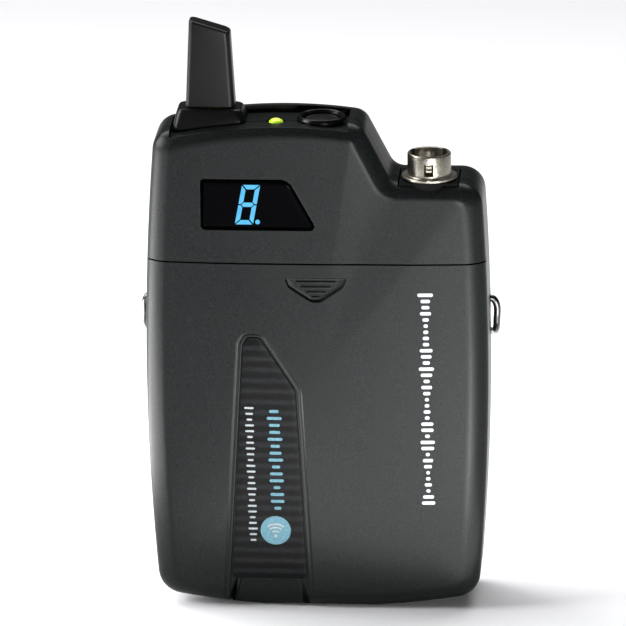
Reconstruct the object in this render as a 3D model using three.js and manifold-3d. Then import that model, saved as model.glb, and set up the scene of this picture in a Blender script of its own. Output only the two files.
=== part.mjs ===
// A wireless bodypack transmitter: a small two-shell case worn on a belt, with a hinged
// battery door, a stub antenna, a locking microphone socket, a lit channel display and a
// push button on top. Millimetres. X is to the wearer's view right, Y to the back (belt
// side), Z up. The origin is at the middle of the foot, half-way through the case's depth.
import * as THREE from "three";
import { mergeVertices } from "three/addons/utils/BufferGeometryUtils.js";
import Module from "manifold-3d";

const wasm = await Module();
wasm.setup();

// ---------------------------------------------------------------- driving dimensions

// Case
const CASE_WIDTH = 66.4;
const CASE_HEIGHT = 98.5;
const CASE_DEPTH = 21.5;
const WALL = 1.8;
const SIDE_RADIUS = 530; // the sides bow outwards
const BELLY_Z = 48; // height of the widest place
const BOTTOM_RADIUS = 167;
const REST_FLAT = 22; // flat in the middle of the bowed foot
const TOP_RADIUS = 103;
const TOP_PEAK_X = -6;
const FRONT_ROUND = 3; // round-over of the front edges
const BACK_ROUND = 4;
const FACE_CROWN = 1.4; // bulge of the front face
const FRONT_FALL = 0.9; // the top falls to the front and to the back
const BACK_FALL = 2.5;
const FOOT_CORNER = 5;
const TOP_CORNER = 4;
const SHELF_CORNER = 4.5;
const NOTCH_CORNER = 3.4;
const NOTCH_FILLET = 3;
const PARTING_Y = -3.5; // plane between the front and rear shells
const HEAD_HEIGHT = 28.1; // from the battery door's top to the top of the case
const GAP = 0.3; // between pieces that meet

// Notch and socket shelf at the right shoulder
const SHELF_DROP = 12.5; // from the top of the case to the shelf
const NOTCH_WIDTH = 24.4; // from the right side to where the slope starts
const NOTCH_SLOPE_DEG = 63;

// Well in the top, for the antenna, the indicator and the push button
const WELL_DEPTH = 1.4;
const WELL_FLOOR = 1.6;
const WELL_INSET = 5.2; // from the left side
const WELL_TO_NOTCH = 2.5;
const WELL_BACK_Y = 3.2;

// Antenna
const ANTENNA_INSET = 12.8; // from the left side
const ANTENNA_Y = -1;
const BLADE_HEIGHT = 17.2;
const BLADE_WIDTH = 9.5;
const BLADE_DEPTH = 5;
const BLADE_TOP_WIDTH = 7.9;
const BLADE_SLOPE = 0.2; // fall of its top, per mm to the right
const BOOT_WIDTH = 14.4;
const BOOT_DEPTH = 8.2;
const BOOT_HEIGHT = 3.3;
const BOOT_TAPER = 1.5;
const BOOT_HOLE_WIDTH = 6.4;
const BOOT_HOLE_DEPTH = 3.2;
const ELEMENT_WIDTH = 3.8; // the strip of metal inside the blade
const ELEMENT_THICK = 0.8;
const ELEMENT_COVER = 5; // plastic above the strip

// Push button and indicator
const BUTTON_TO_NOTCH = 7.8;
const BUTTON_Y = -2;
const BUTTON_R = 3.4;
const BUTTON_TRAVEL = 0.8;
const BUTTON_SINK = 0.3; // from the bezel's rim down to the cap's dome
const STEM_R = 1.2;
const STEM_LENGTH = 4.6;
const BEZEL_WALL = 1;
const BEZEL_SKIRT = 0.35;
const BEZEL_HEIGHT = 0.6;
const BEZEL_NECK = 1.6; // how far the bezel reaches down into the case
const LED_TO_BUTTON = 8.7;
const LED_R = 1.6;
const LENS_LENGTH = 4.5;

// Microphone socket
const SOCKET_INSET = 11.5; // from the right side
const SOCKET_BORE_R = 3.55;
const SOCKET_WALL = 0.65;
const SOCKET_HEIGHT = 5.2; // above the shelf
const SOCKET_BELOW = 8.5;
const FLANGE_RIM = 1.15; // how far it stands out from the barrel
const FLANGE_THICK = 0.5;
const LATCH_WIDTH = 1.8;
const KEY_SLOT_WIDTH = 1.4;
const SOCKET_PINS = 4;
const SOCKET_PIN_R = 0.4;
const SOCKET_PIN_CIRCLE_R = 1.75;
const PIN_RISE = 1.2; // above the shelf
const PIN_TAIL = 2; // below the barrel
const PLATE_MARGIN = 0.25; // around the flange
const PLATE_DEPTH = 10;
const PLATE_THICK = 1;
const PLATE_SHIFT = 1; // to the back
const RETAINER_THICK = 1.2;
const RETAINER_WEB = 0.8; // behind the barrel

// Display
const WINDOW_INSET = 11.2; // from the left side
const WINDOW_ABOVE_SEAM = 6.6;
const WINDOW_HEIGHT = 10.1;
const WINDOW_TOP_WIDTH = 17;
const WINDOW_FOOT_WIDTH = 22.6;
const WINDOW_SINK = 0.25;
const DIGIT_INSET = 9.1; // from the window's left edge
const DIGIT_WIDTH = 3.3;
const DIGIT_HEIGHT = 7.8;
const DIGIT_STROKE = 0.75;
const DIGIT_SLANT = 0.18;
const DIGIT_PLATE = 0.4;
const DIGIT_RISE = 0.25;
const DOT_R = 0.42;

// Cells (two AA) and their bay
const CELL_R = 7.25;
const CELL_LENGTH = 50.5;
const CELL_NUB_R = 2.6;
const CELL_NUB = 1;
const CELL_APART = 1;
const BAY_X = -4;
const BAY_BOTTOM = 8.3;
const BAY_WALL = 1;
const CELL_CLEARANCE = 0.4;
const SPRING_LENGTH = 4.2;
const SPRING_WIRE_R = 0.35;
const SPRING_TURNS = 4;
const CONTACT_THICK = 0.4;
const CONTACT_WIDTH = 9;
const CONTACT_DEPTH = 6;
const TRAY_THICK = 1.2;

// Battery door
const DOOR_TRAVEL = 3.5;
const PIVOT_INSET = 0.6; // from the parting plane to the hinge line
const HINGE_PIN_R = 0.6;
const KNUCKLE_WALL = 0.45;
const KNUCKLE_FOOT = 0.35; // from the foot up to the knuckles
const KNUCKLE_WIDTH = 2.6;
const ARM_WIDTH = 2;
const CARRIER_HALF = 8.6;
const CARRIER_TOP = 6.4;
const CARRIER_THICK = 1.2;
const TONGUE_HEIGHT = 6; // of the door's side tongues, which run in the rear case
const TONGUE_THICK = 1;
const PAD_THICK = 0.45;
const PAD_INSET = 1.5; // from the sides of the cells
const PAD_HALF_HEIGHT = 15;

// Controls behind the door
const CONTROL_X = 20.8;
const PAIR_Z = 55;
const CHANNEL_Z = 44;
const LEVEL_Z = 32;
const KEY_R = 2;
const KEY_TRAVEL = 0.4;
const TRIM_R = 2.6;
const SWITCH_WIDTH = 4.6;
const TRIM_WIDTH = 6.4;

// Boards and what stands on them
const BOARD_THICK = 1;
const BOARD_Y = 0.5;
const BOARD_ABOVE_SHELF = 4;
const SHIELD_LEFT_X = -24;
const SHIELD_WIDTH = 19;
const SHIELD_HEIGHT = 8.5;
const SHIELD_THICK = 2.4;
const CHIP_WIDTH = 8;
const CHIP_THICK = 1.2;

// Belt clip
const CLIP_WIRE_R = 0.7;
const CLIP_AXIS_Y = 4.5;
const CLIP_AXIS_Z = 59.5;
const CLIP_REACH = 1.9; // how far its loops stand out from the sides
const CLIP_STAND_OFF = 2; // from the back to the wire
const CLIP_HALF_WIDTH = 15;
const CLIP_FOOT_Z = 9;
const BUSH_WALL = 0.9;

// Screws
const SCREW_R = 1;
const SCREW_HEAD_R = 1.9;
const SCREW_HEAD = 1.2;
const SCREW_REACH = 4; // of the upper screws, past the parting plane
const TRAY_BOSS = 2.4; // in front of the tray, for the lower screws
const SCREW_SEAT_Y = 4;
const SCREW_SLOT = 0.5;
const BOSS_WALL = 0.6;

// Rear label
const LABEL_HALF_WIDTH = 19;
const LABEL_BELOW_SEAM = 6.4;
const LABEL_HEIGHT = 20;
const LABEL_SEAT = 0.5;
const LABEL_THICK = 0.3;
const LABEL_UNDER = 0.1; // glue line

// ---------------------------------------------------------------- worked-out places

const SEAM_Z = CASE_HEIGHT - HEAD_HEIGHT;
const SHELF_Z = CASE_HEIGHT - SHELF_DROP;
const NOTCH_TOP_X = CASE_WIDTH / 2 - NOTCH_WIDTH;
const WELL_LEFT_X = WELL_INSET - CASE_WIDTH / 2;
const WELL_RIGHT_X = NOTCH_TOP_X - WELL_TO_NOTCH;
const ANTENNA_X = ANTENNA_INSET - CASE_WIDTH / 2;
const BUTTON_X = NOTCH_TOP_X - BUTTON_TO_NOTCH;
const LED_X = BUTTON_X - LED_TO_BUTTON;
const SOCKET_X = CASE_WIDTH / 2 - SOCKET_INSET;
const WINDOW_LEFT = WINDOW_INSET - CASE_WIDTH / 2;
const WINDOW_BOTTOM = SEAM_Z + WINDOW_ABOVE_SEAM;
const WINDOW_TOP = WINDOW_BOTTOM + WINDOW_HEIGHT;
const DIGIT_X = WINDOW_LEFT + DIGIT_INSET;
const BEZEL_OUTER_R = BUTTON_R + BEZEL_WALL;
const SOCKET_OUTER_R = SOCKET_BORE_R + SOCKET_WALL;
const FLANGE_R = SOCKET_OUTER_R + FLANGE_RIM;
const PLATE_WIDTH = 2 * (FLANGE_R + PLATE_MARGIN);
const CELL_PITCH = 2 * CELL_R + CELL_APART;
const KNUCKLE_R = HINGE_PIN_R + GAP + KNUCKLE_WALL;
const PIVOT_Z = KNUCKLE_R + KNUCKLE_FOOT;
const BUSH_R = CLIP_WIRE_R + GAP + BUSH_WALL;
const BOSS_R = SCREW_HEAD_R + GAP + BOSS_WALL;

// ---------------------------------------------------------------- materials

function matter(color, roughness, metalness) {
  return new THREE.MeshStandardMaterial({ color, roughness, metalness });
}

const casePlastic = matter(0x2f3131, 0.55, 0);
const doorPlastic = matter(0x303232, 0.55, 0);
const softBlack = matter(0x242525, 0.7, 0);
const glossBlack = matter(0x050506, 0.08, 0);
const digitBlue = matter(0x2fb5ea, 0.4, 0);
const ledGreen = matter(0xc8e81e, 0.3, 0);
const nickel = matter(0xb9b4a8, 0.28, 1);
const brightNickel = matter(0xd8d6cf, 0.2, 1);
const gold = matter(0xd2a54a, 0.3, 1);
const blackSteel = matter(0x0b0b0c, 0.25, 0.6);
const zinc = matter(0x9a9c9d, 0.35, 1);
const boardGreen = matter(0x1f4a33, 0.5, 0);
const trayPlastic = matter(0x1b1c1d, 0.6, 0);
const cellJacket = matter(0x8c8f93, 0.35, 0.3);
const foam = matter(0x1c1c1e, 0.95, 0);
const badgeSheet = matter(0x141516, 0.45, 0.2);
const labelSheet = matter(0x3a3c3e, 0.5, 0);
const keyGrey = matter(0x6f7477, 0.6, 0);
const trimBlue = matter(0x2b5c9e, 0.5, 0);

// ---------------------------------------------------------------- solids

// A closed geometry as a solid.
function solidOf(geometry) {
  const plain = geometry.index ? geometry.toNonIndexed() : geometry.clone();
  for (const name of Object.keys(plain.attributes)) {
    if (name !== "position") plain.deleteAttribute(name);
  }
  const merged = mergeVertices(plain, 1e-4);
  return new wasm.Manifold(
    new wasm.Mesh({
      numProp: 3,
      vertProperties: merged.attributes.position.array,
      triVerts: new Uint32Array(merged.index.array),
    }),
  );
}

// A solid as a named mesh in a group.
function addPiece(parent, name, solid, material) {
  const { vertProperties, triVerts } = solid.getMesh();
  const geometry = new THREE.BufferGeometry();
  geometry.setAttribute("position", new THREE.BufferAttribute(vertProperties, 3));
  geometry.setIndex(new THREE.BufferAttribute(triVerts, 1));
  const flat = geometry.toNonIndexed();
  flat.computeVertexNormals();
  const mesh = new THREE.Mesh(flat, material);
  mesh.name = name;
  parent.add(mesh);
  return mesh;
}

function box(x0, x1, y0, y1, z0, z1) {
  const geometry = new THREE.BoxGeometry(x1 - x0, y1 - y0, z1 - z0);
  geometry.translate((x0 + x1) / 2, (y0 + y1) / 2, (z0 + z1) / 2);
  return solidOf(geometry);
}

// Upright cylinder or cone about (x, y).
function rodZ(r0, z0, z1, x = 0, y = 0, r1 = r0, sides = 32) {
  const geometry = new THREE.CylinderGeometry(r1, r0, z1 - z0, sides);
  geometry.rotateX(Math.PI / 2);
  geometry.translate(x, y, (z0 + z1) / 2);
  return solidOf(geometry);
}

// Cylinder from front to back about (x, z).
function rodY(r, y0, y1, x, z, sides = 20) {
  const geometry = new THREE.CylinderGeometry(r, r, y1 - y0, sides);
  geometry.translate(x, (y0 + y1) / 2, z);
  return solidOf(geometry);
}

// Cylinder across, about (y, z).
function rodX(r, x0, x1, y, z, sides = 16) {
  const geometry = new THREE.CylinderGeometry(r, r, x1 - x0, sides);
  geometry.rotateZ(Math.PI / 2);
  geometry.translate((x0 + x1) / 2, y, z);
  return solidOf(geometry);
}

// Front-view outline, given as [x, z] points, made solid from y0 to y1.
function prismY(points, y0, y1) {
  const shape = new THREE.Shape(points.map(([x, z]) => new THREE.Vector2(x, z)));
  const geometry = new THREE.ExtrudeGeometry(shape, { depth: y1 - y0, bevelEnabled: false });
  geometry.rotateX(Math.PI / 2);
  geometry.translate(0, y1, 0);
  return solidOf(geometry);
}

// Skin between rings of points, closed at both ends by a fan.
function loft(rings) {
  const count = rings[0].length;
  const positions = rings.flat().flatMap((p) => [p.x, p.y, p.z]);
  const indices = [];
  for (let k = 0; k + 1 < rings.length; k++) {
    for (let i = 0; i < count; i++) {
      const a = k * count + i;
      const b = k * count + ((i + 1) % count);
      indices.push(a, b, b + count, a, b + count, a + count);
    }
  }
  for (const [ring, start, flip] of [
    [rings[0], 0, true],
    [rings[rings.length - 1], (rings.length - 1) * count, false],
  ]) {
    const middle = new THREE.Vector3();
    ring.forEach((p) => middle.addScaledVector(p, 1 / count));
    const centre = positions.length / 3;
    positions.push(middle.x, middle.y, middle.z);
    for (let i = 0; i < count; i++) {
      const a = start + i;
      const b = start + ((i + 1) % count);
      indices.push(...(flip ? [centre, b, a] : [centre, a, b]));
    }
  }
  const geometry = new THREE.BufferGeometry();
  geometry.setAttribute("position", new THREE.Float32BufferAttribute(positions, 3));
  geometry.setIndex(indices);
  return solidOf(geometry);
}

// Rounded rectangle about (cx, cy) at the height that heightAt gives for each x.
function roundedRing(cx, cy, width, depth, radius, heightAt, steps = 4) {
  const ring = [];
  for (const [sx, sy, start] of [
    [1, 1, 0],
    [-1, 1, 1],
    [-1, -1, 2],
    [1, -1, 3],
  ]) {
    for (let i = 0; i <= steps; i++) {
      const turn = ((start + i / steps) * Math.PI) / 2;
      const x = cx + sx * (width / 2 - radius) + radius * Math.cos(turn);
      const y = cy + sy * (depth / 2 - radius) + radius * Math.sin(turn);
      ring.push(new THREE.Vector3(x, y, heightAt(x)));
    }
  }
  return ring;
}

// Polygon [x, z, r] with each corner of radius r rounded.
function roundCorners(points, steps = 3) {
  const out = [];
  points.forEach(([x, z, r = 0], i) => {
    if (!r) {
      out.push([x, z]);
      return;
    }
    const here = new THREE.Vector2(x, z);
    const last = points[(i - 1 + points.length) % points.length];
    const next = points[(i + 1) % points.length];
    const back = new THREE.Vector2(last[0], last[1]).sub(here).normalize();
    const on = new THREE.Vector2(next[0], next[1]).sub(here).normalize();
    const half = Math.acos(back.dot(on)) / 2;
    const middle = back.clone().add(on).normalize();
    const centre = here.clone().addScaledVector(middle, r / Math.sin(half));
    const start = here.clone().addScaledVector(back, r / Math.tan(half)).sub(centre);
    const end = here.clone().addScaledVector(on, r / Math.tan(half)).sub(centre);
    const sweep = Math.atan2(start.cross(end), start.dot(end));
    for (let k = 0; k <= steps; k++) {
      const spoke = start.clone().rotateAround(new THREE.Vector2(), (sweep * k) / steps);
      out.push([centre.x + spoke.x, centre.y + spoke.y]);
    }
  });
  return out;
}

// The outline moved inwards by a distance.
function insetOutline(points, distance) {
  const count = points.length;
  return points.map(([x, z], i) => {
    const last = points[(i - 1 + count) % count];
    const next = points[(i + 1) % count];
    const into = new THREE.Vector2(x - last[0], z - last[1]).normalize();
    const out = new THREE.Vector2(next[0] - x, next[1] - z).normalize();
    const share = distance / (1 + into.dot(out));
    return [x - (into.y + out.y) * share, z + (into.x + out.x) * share];
  });
}

function mirrored(solid) {
  return solid.mirror([1, 0, 0]);
}

// ---------------------------------------------------------------- case outline

const arcRise = (x, radius) => radius - Math.sqrt(radius * radius - x * x);
const sideX = (z) => CASE_WIDTH / 2 - arcRise(z - BELLY_Z, SIDE_RADIUS);
const footZ = (x) =>
  Math.max(0, arcRise(x, BOTTOM_RADIUS) - arcRise(REST_FLAT / 2, BOTTOM_RADIUS));
const topZ = (x) => CASE_HEIGHT - arcRise(x - TOP_PEAK_X, TOP_RADIUS);
const wellZ = (x) => topZ(x) - WELL_DEPTH;
const notchFootX =
  NOTCH_TOP_X + (topZ(NOTCH_TOP_X) - SHELF_Z) / Math.tan(THREE.MathUtils.degToRad(NOTCH_SLOPE_DEG));

// Evenly spaced values from a to b, both ends included.
function spaced(a, b, count) {
  return Array.from({ length: count }, (_, i) => a + ((b - a) * i) / (count - 1));
}

function caseOutline() {
  const footCornerZ = footZ(sideX(0));
  const footCornerX = sideX(footCornerZ);
  const shoulderX = sideX(SHELF_Z);
  const crownX = sideX(topZ(-CASE_WIDTH / 2));
  const keep = 1.4; // curve samples stay this many radii away from a corner
  const footEnd = footCornerX - keep * FOOT_CORNER;
  const bow = spaced(REST_FLAT / 2, footEnd, 3);
  const right = spaced(footCornerZ + keep * FOOT_CORNER, SHELF_Z - keep * SHELF_CORNER, 5);
  const top = spaced(NOTCH_TOP_X - keep * NOTCH_CORNER, -crownX + keep * TOP_CORNER, 5);
  const left = spaced(topZ(-crownX) - keep * TOP_CORNER, footCornerZ + keep * FOOT_CORNER, 5);
  return roundCorners([
    [-footCornerX, footCornerZ, FOOT_CORNER],
    ...bow.toReversed().map((x) => [-x, footZ(x)]),
    ...bow.map((x) => [x, footZ(x)]),
    [footCornerX, footCornerZ, FOOT_CORNER],
    ...right.map((z) => [sideX(z), z]),
    [shoulderX, SHELF_Z, SHELF_CORNER],
    [notchFootX, SHELF_Z, NOTCH_FILLET],
    [NOTCH_TOP_X, topZ(NOTCH_TOP_X), Math.max(NOTCH_CORNER, FRONT_ROUND + GAP)],
    ...top.map((x) => [x, topZ(x)]),
    [-crownX, topZ(-crownX), TOP_CORNER],
    ...left.map((z) => [-sideX(z), z]),
  ]);
}

const OUTLINE = caseOutline();
const FRONT_Y = -CASE_DEPTH / 2;
const BACK_Y = CASE_DEPTH / 2;
const FALL_START_Y = 3; // the top is level from -FALL_START_Y to FALL_START_Y
const FACE_MIDDLE_Z = CASE_HEIGHT / 2 - 2; // the face bulges most here

// How far the top has fallen at a depth y.
function fallAt(y) {
  const past = Math.min(Math.max(Math.abs(y) - FALL_START_Y, 0) / (BACK_Y - FALL_START_Y), 1);
  return (y < 0 ? FRONT_FALL : BACK_FALL) * past * past;
}

// One section of the case at depth y, moved in by inset and shrunk about the face's middle.
function caseRing(y, inset, shrink = 1) {
  return insetOutline(OUTLINE, inset).map(([x, z]) => {
    const above = Math.max(0, (z - SEAM_Z) / (CASE_HEIGHT - SEAM_Z));
    const low = z - fallAt(y) * above;
    return new THREE.Vector3(x * shrink, y, FACE_MIDDLE_Z + (low - FACE_MIDDLE_Z) * shrink);
  });
}

// The whole case as one block, moved inwards by offset on every side.
function caseBlock(offset) {
  const front = FRONT_Y + offset;
  const back = BACK_Y - offset;
  const frontRound = Math.max(FRONT_ROUND - offset, 0.4);
  const backRound = Math.max(BACK_ROUND - offset, 0.4);
  const rings = [0.35, 0.62, 0.85].map((share) =>
    caseRing(front + FACE_CROWN * share * share, offset + frontRound, share),
  );
  for (const turn of spaced(0, Math.PI / 2, 4)) {
    const y = front + FACE_CROWN + frontRound * (1 - Math.cos(turn));
    rings.push(caseRing(y, offset + frontRound * (1 - Math.sin(turn))));
  }
  rings.push(caseRing(-FALL_START_Y, offset), caseRing(FALL_START_Y, offset));
  for (const turn of spaced(0, Math.PI / 2, 4)) {
    const y = back - backRound + backRound * Math.sin(turn);
    rings.push(caseRing(y, offset + backRound * (1 - Math.cos(turn))));
  }
  return loft(rings.toReversed());
}

const FAR = 2 * (CASE_WIDTH + CASE_HEIGHT);
const OUTER = caseBlock(0);
const INNER = caseBlock(WALL);

// What a front-view prism takes in the layer of the case between two depths below its surface.
function layer(prism, from, to) {
  return prism.intersect(caseBlock(from)).subtract(caseBlock(to));
}

// The cut that sinks a front-view prism to a depth below the surface.
function sunk(prism, depth) {
  return prism.subtract(caseBlock(depth));
}

const inFront = (y) => box(-FAR, FAR, -FAR, y, -FAR, FAR);
const behind = (y) => box(-FAR, FAR, y, FAR, -FAR, FAR);
const aboveZ = (z) => box(-FAR, FAR, -FAR, FAR, z, FAR);
const belowZ = (z) => box(-FAR, FAR, -FAR, FAR, -FAR, z);

// ---------------------------------------------------------------- shared cuts

// Everything above a curve that follows the top at a distance below it.
function aboveTop(drop, x0, x1, y0, y1) {
  const curve = spaced(x0, x1, 9).map((x) => [x, topZ(x) - drop]);
  return prismY([...curve, [x1, FAR], [x0, FAR]], y0, y1);
}

const bootHoleX = BOOT_HOLE_WIDTH / 2;
const bootHoleY = BOOT_HOLE_DEPTH / 2;
const socketY = PARTING_Y;
const plateY = socketY + PLATE_SHIFT;
const shelfRecess = PLATE_THICK + GAP;
const socketRecess = box(
  SOCKET_X - PLATE_WIDTH / 2 - GAP,
  SOCKET_X + PLATE_WIDTH / 2 + GAP,
  plateY - PLATE_DEPTH / 2 - GAP,
  plateY + PLATE_DEPTH / 2 + GAP,
  SHELF_Z - shelfRecess,
  SHELF_Z + WALL,
);
const topCuts = aboveTop(WELL_DEPTH, WELL_LEFT_X, WELL_RIGHT_X, -FAR, WELL_BACK_Y)
  .add(rodZ(BEZEL_OUTER_R - GAP, SHELF_Z, CASE_HEIGHT, BUTTON_X, BUTTON_Y))
  .add(rodZ(LED_R + GAP, SHELF_Z, CASE_HEIGHT, LED_X, PARTING_Y))
  .add(
    box(
      ANTENNA_X - bootHoleX,
      ANTENNA_X + bootHoleX,
      ANTENNA_Y - bootHoleY,
      ANTENNA_Y + bootHoleY,
      SHELF_Z,
      CASE_HEIGHT,
    ),
  )
  .add(socketRecess)
  .add(rodZ(SOCKET_OUTER_R + GAP, SEAM_Z, SHELF_Z, SOCKET_X, socketY));

// Floors below the well and the socket plate, so the cuts leave a wall.
const topFloors = OUTER.intersect(
  aboveTop(
    WELL_DEPTH + WELL_FLOOR,
    WELL_LEFT_X - WALL,
    WELL_RIGHT_X + WALL,
    -FAR,
    WELL_BACK_Y + WALL,
  ),
).add(
  OUTER.intersect(
    box(
      SOCKET_X - PLATE_WIDTH / 2 - WALL,
      FAR,
      FRONT_Y + WALL,
      plateY + PLATE_DEPTH / 2 + WALL,
      SHELF_Z - shelfRecess - WALL,
      SHELF_Z,
    ),
  ),
);
const SHELL = OUTER.subtract(INNER).add(topFloors).subtract(topCuts);

// Screw places: two high ones into the front shell, two low ones into the tray.
const upperScrews = [
  [-(sideX(SHELF_Z) - WALL - BOSS_R - 0.6), SHELF_Z + 1],
  [sideX(SEAM_Z) - WALL - BOSS_R - 0.5, SEAM_Z + BOSS_R + 0.8],
];
const lowerScrewX = sideX(BAY_BOTTOM) - WALL - BOSS_R - 0.8;
const lowerScrewZ = BAY_BOTTOM + 4.5;
const lowerScrews = [
  [-lowerScrewX, lowerScrewZ],
  [lowerScrewX, lowerScrewZ],
];

const pivotY = PARTING_Y - PIVOT_INSET;
const lipReach = Math.hypot(PIVOT_INSET, PIVOT_Z);
const hingeRelief = rodX(lipReach + GAP, -FAR, FAR, pivotY, PIVOT_Z, 24).add(
  box(-FAR, FAR, pivotY - lipReach, pivotY + lipReach + GAP, -FAR, PIVOT_Z),
);
const trayFrontY = PARTING_Y + GAP / 2 + 0.3;
const trayBackY = trayFrontY + TRAY_THICK;
const armSweep = Math.hypot(KNUCKLE_R + GAP, KNUCKLE_R); // the door swings round an arm's corner
const carrierFrontY = pivotY + KNUCKLE_R + GAP;
const carrierBackY = carrierFrontY + CARRIER_THICK;

// ---------------------------------------------------------------- rear case

const labelLowZ = SEAM_Z - LABEL_BELOW_SEAM;
const labelHighZ = labelLowZ + LABEL_HEIGHT;
const labelOutline = roundCorners([
  [-LABEL_HALF_WIDTH, labelLowZ, 1.5],
  [LABEL_HALF_WIDTH, labelLowZ, 1.5],
  [LABEL_HALF_WIDTH, labelHighZ, 1.5],
  [-LABEL_HALF_WIDTH, labelHighZ, 1.5],
]);

function rearCase() {
  let solid = SHELL.intersect(behind(PARTING_Y + GAP / 2));
  for (const [x, z] of upperScrews) {
    solid = solid.add(rodY(BOSS_R, PARTING_Y + GAP / 2, BACK_Y - WALL / 2, x, z));
  }
  for (const [x, z] of lowerScrews) {
    solid = solid.add(rodY(BOSS_R, trayBackY + GAP, BACK_Y - WALL / 2, x, z));
  }
  for (const [x, z] of [...upperScrews, ...lowerScrews]) {
    solid = solid
      .subtract(rodY(SCREW_R + GAP, -FAR, FAR, x, z))
      .subtract(rodY(SCREW_HEAD_R + GAP, SCREW_SEAT_Y, FAR, x, z));
  }
  const clipHole = rodX(BUSH_R + GAP, -FAR, FAR, CLIP_AXIS_Y, CLIP_AXIS_Z, 20);
  const carrierSlot = box(
    -CARRIER_HALF - GAP,
    CARRIER_HALF + GAP,
    pivotY,
    carrierBackY + GAP,
    -FAR,
    CARRIER_TOP + WALL,
  );
  const labelSeat = sunk(prismY(labelOutline, 0, FAR), LABEL_SEAT);
  return solid
    .subtract(clipHole)
    .subtract(hingeRelief)
    .subtract(carrierSlot)
    .subtract(labelSeat);
}

// ---------------------------------------------------------------- front shell and display

function windowOutline(margin) {
  const left = WINDOW_LEFT + margin;
  const low = WINDOW_BOTTOM + margin;
  const high = WINDOW_TOP - margin;
  return roundCorners([
    [left, low, 0.9],
    [WINDOW_LEFT + WINDOW_FOOT_WIDTH - 1.4 * margin, low, 0.9],
    [WINDOW_LEFT + WINDOW_TOP_WIDTH - 0.7 * margin, high, 3],
    [left, high, 0.7],
  ]);
}

function frontCase() {
  let solid = SHELL.intersect(inFront(PARTING_Y - GAP / 2)).intersect(aboveZ(SEAM_Z + GAP / 2));
  for (const [x, z] of upperScrews) {
    const boss = rodY(BOSS_R - 0.4, FRONT_Y + WALL, PARTING_Y - GAP / 2, x, z).intersect(OUTER);
    solid = solid.add(boss).subtract(rodY(SCREW_R + GAP, PARTING_Y - 5, FAR, x, z));
  }
  return solid.subtract(prismY(windowOutline(0), -FAR, PARTING_Y));
}

// Six-sided bar from (x0, z0) to (x1, z1), as one stroke of the digit.
function strokeOutline(x0, z0, x1, z1, width) {
  const along = new THREE.Vector2(x1 - x0, z1 - z0).normalize().multiplyScalar(width / 2);
  const across = new THREE.Vector2(-along.y, along.x);
  return [
    [x0, z0],
    [x0 + along.x - across.x, z0 + along.y - across.y],
    [x1 - along.x - across.x, z1 - along.y - across.y],
    [x1, z1],
    [x1 - along.x + across.x, z1 - along.y + across.y],
    [x0 + along.x + across.x, z0 + along.y + across.y],
  ];
}

const digitMiddleZ = (WINDOW_BOTTOM + WINDOW_TOP) / 2;
const digitFaceY = FRONT_Y + FACE_CROWN + WALL - 0.4;
const digitPlateY = digitFaceY + DIGIT_RISE;

function displayDigit() {
  const half = DIGIT_HEIGHT / 2 - DIGIT_STROKE / 2;
  const reach = DIGIT_WIDTH / 2 - DIGIT_STROKE / 2;
  const corner = (sx, sz) => [
    DIGIT_X + sx * reach + DIGIT_SLANT * sz * half,
    digitMiddleZ + sz * half,
  ];
  const strokes = [
    [-1, 1, 1, 1],
    [-1, 0, 1, 0],
    [-1, -1, 1, -1],
    [-1, 0, -1, 1],
    [1, 0, 1, 1],
    [-1, -1, -1, 0],
    [1, -1, 1, 0],
  ];
  let solid = box(
    DIGIT_X - DIGIT_WIDTH,
    DIGIT_X + DIGIT_WIDTH,
    digitPlateY,
    digitPlateY + DIGIT_PLATE,
    digitMiddleZ - half - 0.8,
    digitMiddleZ + half + 0.8,
  );
  for (const [ax, az, bx, bz] of strokes) {
    const [x0, z0] = corner(ax, az);
    const [x1, z1] = corner(bx, bz);
    const gap = new THREE.Vector2(x1 - x0, z1 - z0).normalize().multiplyScalar(0.1);
    const outline = strokeOutline(x0 + gap.x, z0 + gap.y, x1 - gap.x, z1 - gap.y, DIGIT_STROKE);
    solid = solid.add(prismY(outline, digitFaceY, digitPlateY + DIGIT_PLATE / 2));
  }
  const [dotX, dotZ] = corner(1, -1);
  return solid.add(
    rodY(DOT_R, digitFaceY, digitPlateY + DIGIT_PLATE / 2, dotX + 1.15, dotZ, 12),
  );
}

const displayFrontY = digitPlateY + DIGIT_PLATE + GAP;
const displayBoardY = PARTING_Y - 0.9;
const displayBackY = displayBoardY - GAP;

// ---------------------------------------------------------------- battery door

// Badge channel: narrow at the top, wide at the foot, slanted on its right side.
const BADGE_LEFT_TOP = [-14, 54.2];
const BADGE_PEAK = [-11.6, 55.6];
const BADGE_RIGHT_BEND = [-4.1, 44.6];
const BADGE_RIGHT_FOOT = [-2.2, 6];
const BADGE_LEFT_FOOT = [-16.9, 6];
const CHANNEL_MARGIN = 0.8;
const CHANNEL_DEPTH = 0.75;
const BADGE_SINK = 0.3;
const BADGE_THICK = 0.35;

function badgeOutline(margin, footZAt) {
  const slide = (BADGE_LEFT_FOOT[1] - footZAt) / (BADGE_RIGHT_BEND[1] - BADGE_RIGHT_FOOT[1]);
  const spreadLeft = slide * (BADGE_LEFT_TOP[0] - BADGE_LEFT_FOOT[0]);
  const spreadRight = slide * (BADGE_RIGHT_FOOT[0] - BADGE_RIGHT_BEND[0]);
  return roundCorners([
    [BADGE_LEFT_FOOT[0] - spreadLeft - margin, footZAt, 0],
    [BADGE_RIGHT_FOOT[0] + spreadRight + margin, footZAt, 0],
    [BADGE_RIGHT_BEND[0] + margin, BADGE_RIGHT_BEND[1] + margin / 2, 2],
    [BADGE_PEAK[0] + margin / 2, BADGE_PEAK[1] + margin, 1],
    [BADGE_LEFT_TOP[0] - margin, BADGE_LEFT_TOP[1] + margin, 1],
  ]);
}

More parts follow.
